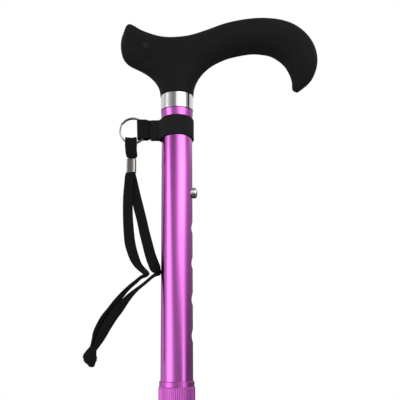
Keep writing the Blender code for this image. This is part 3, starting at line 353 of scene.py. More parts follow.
class Nodes:
    """Adds nodes to a tree. An input may be a number, a colour, or another node's output."""

    def __init__(self, tree):
        self.tree = tree
        tree.nodes.clear()

    def feed(self, node, inputs):
        for key, value in dict(inputs).items():
            if isinstance(value, bpy.types.NodeSocket):
                self.tree.links.new(value, node.inputs[key])
            else:
                node.inputs[key].default_value = value

    def add(self, kind, inputs=(), out=0, **settings):
        node = self.tree.nodes.new("ShaderNode" + kind)
        for key, value in settings.items():
            setattr(node, key, value)
        self.feed(node, inputs)
        return node.outputs[out] if node.outputs else None

    def math(self, operation, *values):
        return self.add("Math", enumerate(values), operation=operation)

    def plus(self, first, *others):
        for other in others:
            first = self.math("ADD", first, other)
        return first

    def times(self, first, *others):
        for other in others:
            first = self.math("MULTIPLY", first, other)
        return first

    def between(self, value, low, high):
        """The value, held between two limits."""
        return self.math("MAXIMUM", self.math("MINIMUM", value, high), low)

    def mix(self, amount, one, other, kind="RGBA"):
        """From one to the other: two colours, or two numbers where the kind is FLOAT."""
        first, out = (6, 2) if kind == "RGBA" else (2, 0)
        return self.add("Mix", {0: amount, first: one, first + 1: other}, out, data_type=kind)

    def bump(self, height, distance, **inputs):
        return self.add("Bump", {"Height": height, "Distance": distance, **inputs})

    def ramp(self, value, low, high, to_low=0.0, to_high=1.0, smooth=False):
        """The value's share of the way from low to high, as a number between two others."""
        limits = {0: value, 1: low, 2: high, 3: to_low, 4: to_high}
        style = "SMOOTHSTEP" if smooth else "LINEAR"
        return self.add("MapRange", limits, interpolation_type=style)

    def coordinates(self, stretch=(1, 1, 1), uv=False):
        """Object or surface coordinates in metres, stretched."""
        source = self.add("TexCoord", out=2 if uv else 3)
        return self.add("Mapping", {"Vector": source, "Scale": stretch})

    def noise(self, scale, detail=2.0, stretch=(1, 1, 1)):
        where = self.coordinates(stretch)
        return self.add("TexNoise", {"Vector": where, "Scale": scale, "Detail": detail})

    def waves(self, period, direction, distort, uv):
        """Sine waves across a direction, from 0 to 1."""
        scale = FULL_TURN / (20 * period)
        inputs = {"Vector": self.coordinates(uv=uv), "Scale": scale, "Distortion": distort}
        style = {"wave_type": "BANDS", "bands_direction": direction, "wave_profile": "SIN"}
        return self.add("TexWave", inputs, out=1, **style)

    def steps(self, turn, levels):
        """A brightness read round the horizon between levels (azimuth in degrees, brightness)."""
        peak = max(level for _, level in levels)
        colours = self.add("ValToRGB", {0: turn}).node
        stops = colours.color_ramp.elements
        for _ in levels[2:]:
            stops.new(0.5)
        for stop, (azimuth, level) in zip(stops, levels):
            stop.position = azimuth / 360 + 0.5
            stop.color = (level / peak, level / peak, level / peak, 1)
        return self.times(colours.outputs[0], peak)

    def shades(self, value, base, low, high):
        """The base colour made darker and lighter with a value from 0 to 1."""
        dark, light = [(*[min(part * factor, 1) for part in base], 1) for factor in (low, high)]
        return self.mix(value, dark, light)


def new_look(name, base, roughness, metallic=0.0, specular=0.5, sheen=0.0):
    """A material with a Principled shader whose constants sit on its own sockets."""
    made = bpy.data.materials.new(name)
    made.use_nodes = True
    made.diffuse_color = (*base, 1)
    nodes = Nodes(made.node_tree)
    constants = {
        "Base Color": (*base, 1),
        "Roughness": roughness,
        "Metallic": metallic,
        "Specular IOR Level": specular,
        "Sheen Weight": sheen,
    }
    shader = nodes.add("BsdfPrincipled", constants).node
    nodes.add("OutputMaterial", {"Surface": shader.outputs[0]})
    return made, nodes, shader


def detail(nodes, shader, base, value, shades, roughness, height, depth):
    """Colour and roughness that follow one texture value, and a bump that follows another."""
    inputs = {"Base Color": nodes.shades(value, base, *shades), "Normal": nodes.bump(height, depth)}
    inputs["Roughness"] = nodes.ramp(value, 0.2, 0.8, *roughness)
    nodes.feed(shader, inputs)


def rubber_look(name, base, roughness, specular, mark=None):
    """Soft-touch or moulded rubber: a fine grain over broad, faint handling marks."""
    made, nodes, shader = new_look(name, base, roughness, specular=specular)
    marks = nodes.noise(60.0, 4.0)
    grain = nodes.noise(2600.0)
    spread = (roughness - 0.05, roughness + 0.05)
    detail(nodes, shader, base, marks, (0.9, 1.12), spread, grain, 0.03 * MM)
    if mark:
        raise_disc(nodes, shader, base, *mark)
    return made


def raise_disc(nodes, shader, base, x, z, radius):
    """A round mark of the mould, seen along Y: paler than the rubber round it, and a little proud."""
    paler = 1.7
    rise = 0.1 * MM
    place = nodes.add("SeparateXYZ", {"Vector": nodes.add("TexCoord", out=3)}).node.outputs
    squares = [nodes.math("POWER", nodes.math("SUBTRACT", place[i], at), 2) for i, at in ((0, x), (2, z))]
    apart = nodes.math("SQRT", nodes.plus(*squares))
    disc = nodes.ramp(apart, 0.85 * radius, 1.15 * radius, 1, 0, smooth=True)
    shaded, grain = [shader.inputs[key].links[0].from_socket for key in ("Base Color", "Normal")]
    pale = (*[part * paler for part in base], 1)
    nodes.feed(shader, {
        "Base Color": nodes.mix(disc, shaded, pale),
        "Normal": nodes.bump(disc, rise, Normal=grain),
    })


def drawn_metal_look(name, base, roughness, line=(1, 1, 0.02)):
    """Metal with the fine lines of drawing or turning, and faint cloudiness."""
    made, nodes, shader = new_look(name, base, roughness, metallic=1.0)
    cloud = nodes.noise(90.0, 4.0)
    lines = nodes.noise(2400.0, stretch=line)
    spread = (roughness * 0.85, roughness * 1.15)
    detail(nodes, shader, base, cloud, (0.96, 1.04), spread, lines, 0.001 * MM)
    return made


def polished_look(name, base, roughness):
    """Sheet metal polished along its height: bright and dim streaks of unlike width."""
    made, nodes, shader = new_look(name, base, roughness, metallic=1.0)
    streaks = nodes.ramp(nodes.noise(420.0, 3.0, (1, 1, 0.01)), 0.35, 0.65)
    lines = nodes.noise(2400.0, stretch=(1, 1, 0.02))
    spread = (roughness * 1.3, roughness * 0.6)
    detail(nodes, shader, base, streaks, (0.93, 1.07), spread, lines, 0.001 * MM)
    return made


def plastic_look(name, base, roughness):
    """Moulded plastic with a faint flow pattern and a fine grain."""
    made, nodes, shader = new_look(name, base, roughness)
    flow = nodes.noise(120.0, 5.0)
    grain = nodes.noise(1800.0)
    spread = (roughness - 0.05, roughness + 0.05)
    detail(nodes, shader, base, flow, (0.92, 1.08), spread, grain, 0.01 * MM)
    return made


def woven_look(name, base, periods, directions, uv=False, shades=(0.7, 1.3)):
    """Yarn crossing yarn: two sets of waves multiplied, with fuzz between them. Its colour is painted shade
    in the weave's hollows and painted light on its crests.
    """
    made, nodes, shader = new_look(name, base, 0.85, specular=0.1, sheen=0.02)
    waves = [nodes.waves(period, direction, 0.4, uv) for period, direction in zip(periods, directions)]
    height = nodes.plus(nodes.times(*waves), nodes.times(nodes.noise(5000.0), 0.4))
    # painted shade and painted light: the colour follows the weave's height, darker in its hollows and
    # lighter on its crests
    detail(nodes, shader, base, height, shades, (0.75, 0.9), height, 0.05 * MM)
    return made


# Camera, light and floor


def aimed(place, direction):
    """The matrix of a camera or a lamp at a place, looking along a direction."""
    return Matrix.Translation(place) @ direction.to_track_quat("-Z", "Y").to_matrix().to_4x4()


def make_camera(stage):
    made = linked("camera", bpy.data.cameras.new("camera"))
    made.data.lens = stage.lens
    made.data.sensor_width = 36
    made.data.clip_start = 0.01
    looks = Vector((0, math.cos(stage.tilt), math.sin(stage.tilt)))
    made.matrix_world = aimed(EYE, looks) @ Matrix.Rotation(stage.roll, 4, "Z")
    bpy.context.scene.camera = made
    bpy.context.scene.view_settings.view_transform = "Standard"


# The studio that shiny pieces see, with azimuths and elevations in degrees. A soft light has the
# sidebar's brightness, which grows by a share of itself with each degree of elevation, then the
# azimuth of its middle and its width, each with its growth.
SOFT_LIGHTS = (
    ("left_box", 0.015, (-51.5, -0.9), (22.5, -0.7)),
    ("strip", -0.05, (50, -1.68), (14, 2.2)),
    ("right_box", -0.273, (19, 1.7), (31, -0.33)),
    ("wall", 0.0, (-108, 0.0), (26, 0.0)),
)
LEANING_RISE = (-1.5, 22.0)  # elevations between which the lights lean and grow
LEAST_WIDTH = 9.0
ROOM_GROWTH = -0.008  # what the room's brightness gains with a degree of elevation
RIGHT_SIDE = (-0.27, 0.031)  # what the room's right side adds, and its growth
BEHIND = (130, 165, 1.0, 0.3)  # azimuths between which the room fades, and to what share
GROUND = (-30, -6, 0.2, 1.0)  # elevations between which it fades below, and from what share
OVERHEAD = (30, 60, 1.0, 0.35)  # and above, and to what share
CEILING_FOOT = (15.2, 17.2)  # elevations between which the ceiling takes over
# What shows above the ceiling's foot: azimuth, and brightness. The dips are the dark edges between
# a wall, narrow cards and a wide diffuser.
CEILING = (
    (-172, 0.2), (-156, 0.9), (-116, 1.05), (-95, 0.8), (-84, 0.95), (-79, 1.7),
    (-72, 1.7), (-64, 1.0), (-56, 0.9), (-44, 0.5), (-30, 0.34), (-12, 0.38),
    (-6, 0.6), (-3, 1.6), (0, 1.6), (5, 1.05), (13, 3.0), (58, 3.0),
    (68, 1.0), (80, 0.3), (90, 0.45), (104, 1.1), (156, 1.1), (172, 0.2),
)


def make_world(stage):
    """White to the camera, plain to matt surfaces, and a studio to shiny ones.

    The studio is a dim room with its soft lights and a ceiling. A soft light falls off round its
    middle as brightness exp(-(azimuth from its middle / width)^2).
    """
    world = bpy.data.worlds.new("studio")
    bpy.context.scene.world = world
    world.use_nodes = True
    nodes = Nodes(world.node_tree)
    x, y, z = nodes.add("SeparateXYZ", {0: nodes.add("TexCoord", out=0)}).node.outputs
    to_degrees = 180 / math.pi
    azimuth = nodes.times(nodes.math("ARCTAN2", x, nodes.times(y, -1.0)), to_degrees)
    rise = nodes.times(nodes.math("ARCSINE", z), to_degrees)
    height = nodes.between(rise, *LEANING_RISE)

    def leaning(level, growth):
        return nodes.math("MULTIPLY_ADD", height, growth, level)

    def soft_light(strength, growth, middle, width):
        off = nodes.math("SUBTRACT", azimuth, leaning(*middle))
        ratio = nodes.math("DIVIDE", off, nodes.math("MAXIMUM", leaning(*width), LEAST_WIDTH))
        falloff = nodes.math("EXPONENT", nodes.times(ratio, ratio, -1.0))
        return nodes.times(falloff, nodes.math("MAXIMUM", leaning(strength, strength * growth), 0.0))

    lights = [soft_light(getattr(stage, name), *rest) for name, *rest in SOFT_LIGHTS]
    on_right = nodes.between(nodes.math("DIVIDE", azimuth, 90.0), 0.0, 1.0)
    right_side = nodes.times(on_right, leaning(*RIGHT_SIDE))
    studio = nodes.plus(*lights, leaning(stage.room, ROOM_GROWTH), right_side)
    behind = nodes.ramp(nodes.math("ABSOLUTE", azimuth), *BEHIND, smooth=True)
    studio = nodes.times(studio, behind, nodes.ramp(rise, *GROUND, smooth=True))
    ceiling = nodes.steps(nodes.math("MULTIPLY_ADD", azimuth, 1 / 360, 0.5), CEILING)
    studio = nodes.mix(nodes.ramp(rise, *CEILING_FOOT, smooth=True), studio, ceiling, "FLOAT")
    studio = nodes.times(studio, nodes.ramp(rise, *OVERHEAD, smooth=True))
    path = nodes.add("LightPath").node.outputs
    seen = nodes.math("MAXIMUM", path["Is Camera Ray"], path["Is Transmission Ray"])
    plain = nodes.math("MULTIPLY_ADD", seen, 1.0 - stage.sky, stage.sky)
    strength = nodes.mix(path["Is Glossy Ray"], plain, studio, "FLOAT")
    light = nodes.add("Background", {"Color": (1, 1, 1, 1), "Strength": strength})
    nodes.add("OutputWorld", {"Surface": light})


LAMPS = (("lamp_left", (-1.1, -1.1, 1.5), 12.0), ("lamp_right", (1.2, -0.9, 1.2), 8.0))
LAMP_AIM = Vector((0, 0, 0.6))
LAMP_SIDE = 1.0


def make_lamps():
    """Two soft lamps that only shape the matt surfaces."""
    for name, place, power in LAMPS:
        data = bpy.data.lights.new(name, "AREA")
        data.shape = "SQUARE"
        data.size = LAMP_SIDE
        data.energy = power
        made = linked(name, data)
        made.matrix_world = aimed(place, LAMP_AIM - Vector(place))
        made.visible_glossy = False
        made.visible_camera = False


def make_floor(stage):
    """A pale disc under the ferrule that fades into the white background at its rim."""
    pale = (0.9, 0.9, 0.9)
    made, nodes, shader = new_look("floor", pale, 0.6, specular=0.2)
    where = nodes.add("TexCoord", out=3)
    away = nodes.add("VectorMath", {0: where}, out=1, operation="LENGTH")
    nodes.feed(shader, {"Base Color": nodes.shades(nodes.noise(220.0, 3.0), pale, 0.985, 1.015)})
    white = nodes.add("Emission", {"Color": (1, 1, 1, 1), "Strength": 1.0})
    fade = nodes.ramp(away, 0.25 * stage.floor, 0.95 * stage.floor, smooth=True)
    mixed = nodes.add("MixShader", {0: fade, 1: shader.outputs[0], 2: white})
    nodes.feed(nodes.tree.get_output_node("ALL"), {"Surface": mixed})
    below = -0.1 * MM  # keeps the tread's face clear
    disc = piece("floor", [turned([(r, below) for r in np.linspace(0, stage.floor, 24)], 96)], made)
    disc.visible_glossy = False


# Cord, band, tab and ring

BRAID_RIB = 1.17 * MM  # across the cord, from one rib of its braid to the next
BRAID_PITCH = 1.3 * MM  # along the cord, from one slant to the next
BRAID_RELIEF = 0.09 * MM
BAND_YARN = 0.9 * MM  # along the elastic, from one yarn to the next
WEB_RIB = 1.3 * MM  # across the tab's webbing, from one rib to the next
WEB_YARN = 0.8 * MM  # along it, from one yarn to the next
TAPE_STEP = 0.3 * MM  # rows of the tape's mesh
RIBBON_STEP = 0.25 * MM  # rows up a strip that stands on edge


def strip_section(count, bends):
    """Once round the section of a strip with round edges, from 1 across to -1 and back to 1.

    Each point has its place across the flat faces, its side (cos a round an edge) and how far it
    is past the flat (sin a). The last point is the first one again.
    """
    run = np.linspace(1, -1, count)
    turn = np.linspace(0, math.pi, bends + 2)[1:-1]
    face = np.ones(count)
    edge = np.ones(bends)
    across = np.concatenate([run, -edge, -run, edge])
    side = np.concatenate([face, np.cos(turn), -face, -np.cos(turn)])
    past = np.concatenate([0 * face, -np.sin(turn), 0 * face, np.sin(turn)])
    section = np.stack([across, side, past])
    return np.hstack([section, section[:, :1]])


def closed_strip(flat, grid):
    """A strip's sheet, closed at both ends by its first and last rows pressed flat."""
    return np.concatenate([flat[:1], grid, flat[-1:]])


def braid(across, along):
    """Height of a flat braid from 0 to 1: ribs along it, each slanting the other way."""
    rib = across / BRAID_RIB
    number = np.floor(rib)
    place = rib - number - 0.5
    slant = np.cos(FULL_TURN * (along / BRAID_PITCH + place * 0.9 * (-1) ** number))
    return np.cos(math.pi * place) * (0.7 + 0.3 * slant)


def tape_sheet(tape, points, width_axis, depth_axis, shares, bow=0.0):
    """The flat cord along a line: its section is set across the width and depth directions.

    bow bends the section across its width: depth offset = bow across^2.
    """
    across, side, past = -strip_section(24, 5)
    radius = tape.tape_thick / 2
    across = (tape.tape / 2 - radius) * across + radius * past
    along = lengths_of(points)[:, None]
    height = BRAID_RELIEF * (braid(across, along) - 0.5)
    narrowed = across * shares[:, None]
    wide = narrowed + past * height
    thick = side * (radius + height) + bow * across**2
    flat = points[:, None] + narrowed[..., None] * width_axis[:, None]
    grid = points[:, None] + wide[..., None] * width_axis[:, None]
    grid = grid + thick[..., None] * depth_axis[:, None]
    uv = stacked(across, along)
    return closed_strip(*[np.concatenate([sheet, uv], axis=-1) for sheet in (flat, grid)])


def tape_axes(points, axis, turns):
    """The tape's width and depth directions. At a turn of 0 its width lies along the axis."""
    along, beside, upright = axes_along(points, axis)
    turn = np.radians(turns)[:, None]
    width = np.sin(turn) * beside + np.cos(turn) * upright
    return width, np.cross(along, width)


# The cord's two strands, from inside the crimp to the knot, as x, y, z, turn and width: x and z
# in millimetres from the middle of the crimp's foot, y as a share of a layer's place in the
# crimp, the turn of the tape (90 shows its flat side to the front, 0 its edge), and its width as
# a share of the tape's.
STRAND_LEFT = (
    (0.0, -1.0, 0.7, 90, 0.70),
    (0.0, -1.0, -0.1, 90, 0.74),
    (-1.1, -1.15, -2.0, 90, 0.95),
    (-1.8, -1.1, -8.7, 90, 0.98),
    (-2.3, -1.1, -17.6, 90, 1.02),
    (-2.3, -1.0, -26.5, 90, 1.04),
    (-2.0, -0.8, -35.3, 90, 1.06),
    (-1.3, -0.7, -44.1, 90, 1.10),
    (-0.3, -0.6, -52.4, 90, 1.12),
    (2.1, -0.4, -60.7, 84, 1.04),
    (4.3, -0.3, -65.8, 60, 1.0),
    (6.4, -0.2, -68.9, 44, 1.0),
    (9.7, 0.0, -72.2, 34, 1.0),
    (11.8, 0.0, -74.0, 24, 1.0),
    (10.9, 0.1, -75.1, 14, 1.0),
    (7.6, 0.1, -76.8, 6, 1.0),
    (4.5, 0.3, -79.4, 8, 1.0),
    (-2.1, 0.6, -85.1, 13, 1.0),
    (-9.6, 1.0, -93.7, 26, 1.0),
    (-13.8, 1.2, -99.3, 29, 1.0),
    (-18.0, 1.3, -104.7, 31, 1.0),
    (-21.0, 1.2, -110.1, 31, 1.0),
    (-23.2, 0.9, -115.1, 27, 1.0),
    (-24.3, 0.6, -119.7, 22, 0.9),
    (-25.4, 0.3, -124.0, 20, 0.8),
    (-27.4, 0.0, -128.4, 20, 0.7),
)
STRAND_RIGHT = (
    (0.0, 1.0, 0.7, 90, 0.70),
    (0.0, 1.0, -0.1, 90, 0.74),
    (0.1, 1.15, -2.0, 90, 0.88),
    (1.3, 1.1, -8.7, 90, 1.0),
    (3.3, 1.0, -17.7, 90, 1.04),
    (5.5, 0.9, -26.6, 90, 1.08),
    (7.8, 0.8, -35.4, 90, 1.06),
    (9.8, 0.6, -44.2, 90, 1.09),
    (12.1, 0.4, -52.9, 90, 1.10),
    (14.3, 0.3, -61.0, 90, 1.12),
    (16.2, 0.2, -66.2, 88, 1.13),
    (17.9, 0.0, -70.2, 76, 1.14),
    (19.2, 0.0, -72.3, 52, 1.0),
    (19.8, 0.0, -73.6, 30, 1.0),
    (18.3, 0.0, -74.7, 10, 1.0),
    (15.6, -0.1, -76.4, 4, 1.0),
    (12.9, -0.2, -78.8, 4, 1.0),
    (8.8, -0.4, -82.2, 4, 1.0),
    (5.2, -0.6, -85.0, 8, 1.0),
    (-1.2, -1.1, -91.2, 28, 1.0),
    (-7.5, -1.5, -99.3, 55, 1.0),
    (-10.8, -1.5, -103.4, 62, 1.0),
    (-13.9, -1.4, -108.0, 66, 1.0),
    (-16.4, -1.2, -112.1, 66, 1.0),
    (-18.3, -0.9, -115.7, 57, 1.0),
    (-20.1, -0.6, -119.4, 42, 1.0),
    (-22.2, -0.3, -123.2, 32, 0.9),
    (-26.1, 0.0, -129.6, 20, 0.7),
)


def middle_of(node):
    """Middle of a node's box."""
    low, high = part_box(node)
    return (low + high) / 2


def crimp_foot():
    return np.array((middle_of("cord_crimp").x, 0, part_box("cord_crimp")[0].z))


def make_strands(tape, look):
    """Both strands, as free cords that hang from the crimp and meet in the knot."""
    foot = crimp_foot()
    for name, chosen in (("strand_left", STRAND_LEFT), ("strand_right", STRAND_RIGHT)):
        rows = np.array(chosen, float)
        rows[:, :3] = rows[:, :3] * (MM, tape.layer, MM) + foot
        rows = smooth_line(rows, TAPE_STEP)
        points = rows[:, :3]
        width, depth = tape_axes(points, (0, 1, 0), rows[:, 3])
        sheet = tape_sheet(tape, points, width, depth, rows[:, 4])
        made = stand_in(name + "_tape", "wrist_cord", name, [sheet], look)


def loop_line(tape):
    """Middle of the cord's top: up the back, over the ring's foot and down the front.

    A row is x, y, z and the width as a share of the tape's. Over the ring it is a half circle.
    """
    foot = crimp_foot()
    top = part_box("cord_crimp")[1].z
    ring_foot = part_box("split_ring")[0].z + tape.ring_wire / 2
    x_arch = middle_of("cord_loop").x
    gap = 0.3 * MM
    leg = np.array([
        (foot[0], tape.layer, foot[2] + gap + 0.7 * MM, 0.70),
        (foot[0], tape.layer, top + gap, 0.70),
        (foot[0], tape.tape_thick, top + 1.6 * MM, 1.08),
        (x_arch, tape.loop - gap, ring_foot - 4 * MM, 1.17),
    ])
    turn = np.linspace(0, math.pi, 14)
    arch = stacked(x_arch, tape.loop * np.cos(turn), ring_foot + tape.loop * np.sin(turn), 1.19)
    return smooth_line(np.vstack([leg, arch, leg[::-1] * (1, -1, 1, 1)]), TAPE_STEP)


def make_cord_loop(tape, look):
    """The cord's top, bowed where it lies in the ring's round foot."""
    rows = loop_line(tape)
    points = rows[:, :3]
    width, depth = tape_axes(points, (1, 0, 0), np.zeros(len(rows)))
    over = np.clip((points[:, 2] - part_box("split_ring")[0].z) / tape.loop, 0, 1)
    outward = np.sign((depth * (points - points.mean(0))).sum(1))
    bow = (outward * over / tape.ring)[:, None]
    sheet = tape_sheet(tape, points, width, depth, rows[:, 3], bow)
    made = stand_in("cord_loop_tape", "wrist_cord", "cord_loop", [sheet], look)


# The knot from its neck to its foot: x and z in millimetres from the middle of the crimp's foot,
# then half its width and half its depth.
KNOT = (
    (-23.4, -121.8, 1.6, 1.0),
    (-25.2, -125.2, 2.6, 2.2),
    (-26.7, -128.8, 4.1, 3.5),
    (-27.0, -132.1, 4.7, 4.1),
    (-26.8, -134.7, 4.2, 3.6),
    (-25.9, -136.9, 2.4, 2.3),
    (-25.6, -138.1, 1.4, 1.3),
    (-25.5, -138.5, 0.0, 0.0),
)
PEAR_LENGTH = 16 * MM  # of the braid's pattern on the pear
PEAR_RADIUS = 4 * MM
PEAR_SWELL = 0.05
WOUND_FROM = 0.46  # share of the way down the knot at which the winding tape starts
WOUND_DOWN = 0.3  # share that it goes down
WOUND_TURNS = 1.3
WOUND_START = 0.6  # its angle there, in radians
WOUND_END = 0.15  # share of the winding at which it has come out of the pear
WOUND_REACH = (0.8, 0.91)  # its way out to the pear's surface, at its ends and between them
WOUND_WIDTH = (0.3, 0.44)  # the same for its width, as a share of the tape's


def knot_rows(share_down):
    """Middle's x and z, half width and half depth of the knot at shares of the way down it."""
    rows = np.array(KNOT) * MM
    knots = lengths_of(rows[:, :2])
    x, z, wide, deep = read_between(rows, knots, share_down * knots[-1]).T
    foot = crimp_foot()
    return x + foot[0], z + foot[2], np.maximum(wide, 0), np.maximum(deep, 0)


def make_knot(tape, look):
    """The knot: a pear of drawn-in cord with the tape wound round it.

    The pear is middle + (half width cos a, half depth sin a), and swells by a share that follows
    sin(2a + wind). The winding tape keeps to the same surface, a little way in.
    """
    down = np.linspace(0, 1, 60)
    around = np.linspace(0, FULL_TURN, 49)
    x, z, wide, deep = [row[:, None] for row in knot_rows(down)]
    down = down[:, None]
    swell = 1 + PEAR_SWELL * np.sin(2 * around + 7 * down)
    pear = stacked(
        x + wide * swell * np.cos(around),
        -deep * swell * np.sin(around),
        z,
        around * PEAR_RADIUS,
        down * PEAR_LENGTH,
    )
    way = np.linspace(0, 1, 160)
    x, z, wide, deep = knot_rows(WOUND_FROM + WOUND_DOWN * way)
    turn = WOUND_START + WOUND_TURNS * FULL_TURN * way
    from_end = np.minimum(way, 1 - way)
    reach, narrowed = [np.interp(from_end, (0, WOUND_END), pair) for pair in (WOUND_REACH, WOUND_WIDTH)]
    points = stacked(x + reach * wide * np.cos(turn), -reach * deep * np.sin(turn), z)
    along = np.gradient(points, axis=0)
    slope = np.gradient(wide, lengths_of(stacked(x, z)))
    width = unit(np.cross(along, stacked(np.cos(turn), -np.sin(turn), slope)))
    depth = unit(np.cross(along, width))
    wound = tape_sheet(tape, points, width, depth, narrowed)
    stand_in("knot_tape", "wrist_cord", "cord_knot", [wound, pear], look, 60)


def ribbon(path, low, high, thickness, relief=None):
    """A strip that stands on edge and follows a path in plan.

    Its section is a rectangle with round edges. Every point is the path's point plus an offset
    along the path's plan normal, at a height between low and high, which may change on the way.
    """
    radius = thickness / 2
    count = max(int(np.mean(high - low) / RIBBON_STEP), 4)
    across, side, past = strip_section(count, 4)
    along = unit(np.gradient(path, axis=0))
    low = np.broadcast_to(low, len(path))[:, None] + radius
    high = np.broadcast_to(high, len(path))[:, None] - radius
    rise = (high - low) * (across + 1) / 2 + radius * past
    travelled = lengths_of(path)[:, None]
    offset = radius * side
    if relief:
        offset = offset + np.sign(side) * relief(travelled, rise)
    x, y = path.T[:, :, None]
    flat = stacked(x, y, low + rise, travelled, rise)
    x = x + along[:, 1:] * offset
    y = y - along[:, :1] * offset
    return closed_strip(flat, stacked(x, y, low + rise, travelled, rise))


def band_path(shaft, tape):
    """The elastic in plan: round the tube, then pinched, with its ends outside the webbing."""
    middle = shaft.tube / 2 + shaft.gap + tape.band / 2
    leave = math.acos(middle / tape.pinch)
    around = np.linspace(math.pi - leave, leave - math.pi, 120)
    arc = around_z(middle, around, 0)[:, :2]
    layer = tape.webbing + tape.band / 2 + 0.05 * MM
    end = [(-tape.pinch - tape.sewn, layer), (-tape.pinch, layer, 1.2 * MM), tuple(arc[0])]
    lead = filleted(end)[:-1]
    return evened(np.vstack([lead, arc, lead[::-1] * (1, -1)]), 0.5 * MM)


def make_band(shaft, tape, look):
    """Elastic band with ribs round it, tilted: it drops by a share of its way to the back."""
    low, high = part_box("strap_band")
    path = band_path(shaft, tape)

    def ribs(travelled, rise):
        wave = np.cos(FULL_TURN * rise / tape.band_rib)
        yarn = np.cos(FULL_TURN * travelled / BAND_YARN)
        return 0.09 * MM * wave + 0.015 * MM * yarn * (1 - wave)

    sag = tape.tilt_drop + math.tan(tape.tilt) * path[:, 1]
    sheet = ribbon(path, low.z - sag, high.z - sag, tape.band, ribs)
    stand_in("band_elastic", "strap_mount", "strap_band", [sheet], look)


def tab_path(tape, fold):
    """The webbing in plan: one layer of the stem, round the ring to the fold, and back."""
    layer = tape.webbing / 2 + 0.03 * MM
    start = -tape.pinch - 0.4 * MM
    seam = -tape.pinch - tape.sewn
    spread = seam - 4.2 * MM  # where the layers are apart, ready for the ring
    half = [(start, layer), (seam, layer, 2 * MM), (spread, tape.eye, 2 * MM), (fold, tape.eye, 2.6 * MM)]
    other = [(corner[0], -corner[1], *corner[2:]) for corner in reversed(half)]
    return evened(filleted(half + other, 10), 0.35 * MM)


def make_tab(tape, look, thread):
    """Webbing folded round the ring, with the seams that hold the band's ends and the fold."""
    low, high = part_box("strap_tab")
    path = tab_path(tape, low.x + tape.webbing / 2)
    travelled = lengths_of(path)
    way = travelled / travelled[-1]

    def ribs(travelled, rise):
        wave = np.cos(FULL_TURN * rise / WEB_RIB)
        yarn = np.cos(FULL_TURN * travelled / WEB_YARN + math.pi * (2 * rise / WEB_RIB // 1))
        return 0.035 * MM * wave + 0.02 * MM * yarn

    wander = 0.12 * MM * np.sin(31 * way) + 0.08 * MM * np.sin(77 * way)
    inset = 1.1 * MM  # the foot's, from the solid's
    stands = 0.25 * MM  # the top, over the solid's
    foot = low.z + inset - wander
    nearness = (path[:, 0] - low.x) / (-tape.pinch - low.x)
    top = high.z + stands - tape.tilt_drop / 2 * nearness + wander[::-1]
    sheet = ribbon(path, foot, top, tape.webbing, ribs)
    to_fold = np.clip((-tape.pinch - tape.sewn - sheet[..., 0]) / (4 * MM), 0, 1)
    sheet[..., 0] += tape.fold_lean * to_fold * (high.z - sheet[..., 2]) / (high.z - low.z)
    stand_in("tab_webbing", "strap_mount", "strap_tab", [sheet], look)
    stitches = stitch_sheets(tape, low.z - tape.tilt_drop, high.z - tape.tilt_drop)
    sewn = piece("tab_seams", stitches, thread)
    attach(sewn, "strap_mount")


def stitch_sheets(tape, low, high):
    """Short bows of thread in vertical rows on both sides of the tab."""
    pitch = 2.1 * MM
    hem = 1 * MM  # bare webbing over and under a row
    count = int((high - low - 2 * hem) / pitch)
    levels = (low + high) / 2 + (np.arange(count) - (count - 1) / 2) * pitch
    layer = tape.webbing + tape.band + 0.05 * MM
    t = np.linspace(-1, 1, 9)
    bow = layer + 0.12 * MM - 0.3 * MM * t**4  # the thread dips in at both ends of a stitch
    return [
        wire_sheet(stacked(x, side * bow, level + 0.42 * pitch * t), tape.thread / 2, 8, (1, 0, 0))
        for x in (-tape.pinch - 1.4 * MM, -tape.pinch - 5.0 * MM)
        for side in (-1, 1)
        for level in levels
    ]


def wire_sheet(points, radius, steps, axis):
    """A round wire along a line, closed at both ends by a small dome: r cos a, 0.5 r sin a."""
    along, beside, upright = axes_along(points, axis)
    last = len(points) - 1
    cap = np.linspace(0, math.pi / 2, 4)
    lean = np.concatenate([cap - math.pi / 2, np.zeros(last - 1), cap])[:, None]
    pick = np.clip(np.arange(-3, last + 4), 0, last)
    centre = points[pick] + radius * 0.5 * np.sin(lean) * along[pick]
    turn = np.linspace(0, FULL_TURN, steps + 1)[:, None]
    spoke = np.cos(turn) * beside[pick][:, None] + np.sin(turn) * upright[pick][:, None]
    return centre[:, None] + radius * np.cos(lean)[:, None] * spoke


def make_ring(tape, look):
    """Split ring: two flat turns of wire with a step between them."""
    middle = middle_of("split_ring")
    jog = 40  # degrees over which the wire steps across
    seam = 145  # degrees at which the step ends
    degrees = np.linspace(0, 720 - jog, 200)
    climb = eased((degrees - (360 - jog)) / jog)
    y = (tape.ring_wire + tape.ring_gap) * (climb - 0.5)
    around = np.radians(degrees + seam + jog)
    radius = tape.ring / 2
    line = stacked(middle.x + radius * np.cos(around), y, middle.z + radius * np.sin(around))
    wire = wire_sheet(line, tape.ring_wire / 2, 16, (0, 1, 0))
    stand_in("ring_wire", "ring", "split_ring", [wire], look)


def make_crimp(tape, look):
    """Sleeve pressed round the two layers: flat in front, rolled on the right, seam at the back."""
    low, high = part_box("cord_crimp")
    wall = tape.crimp_wall
    x = (high.x - low.x - wall) / 2
    y = (high.y - low.y - wall) / 2
    tight = 1.2 * MM
    rolled = 3.0 * MM
    seam = 0.35 * MM
    left = -x - 0.3 * MM
    drop = 0.4 * MM
    corners = [(seam, y), (x, y, rolled), (x, -y, rolled), (left, -y, tight), (left, y, tight)]
    path = evened(filleted(corners + [(-seam, y)], 10), 0.2 * MM)
    turn = np.array(Matrix.Rotation(-tape.crimp_turn, 2))
    path = path @ turn + ((low.x + high.x) / 2, 0)
    sleeve = ribbon(path, low.z - drop, high.z - drop, wall)
    stand_in("crimp_sleeve", "wrist_cord", "cord_crimp", [sleeve], look, 50)


# Collar, tubes, button, nut and ferrule

RIM = 0.3 * MM  # chamfer round a hole, and rounding of a tube's end
CELL_TURN = math.radians(46)  # half the angle of the wall's cell round a hole
CELL_ROWS = 12  # faces up the cell
CELL_COLUMNS = 33  # faces round it


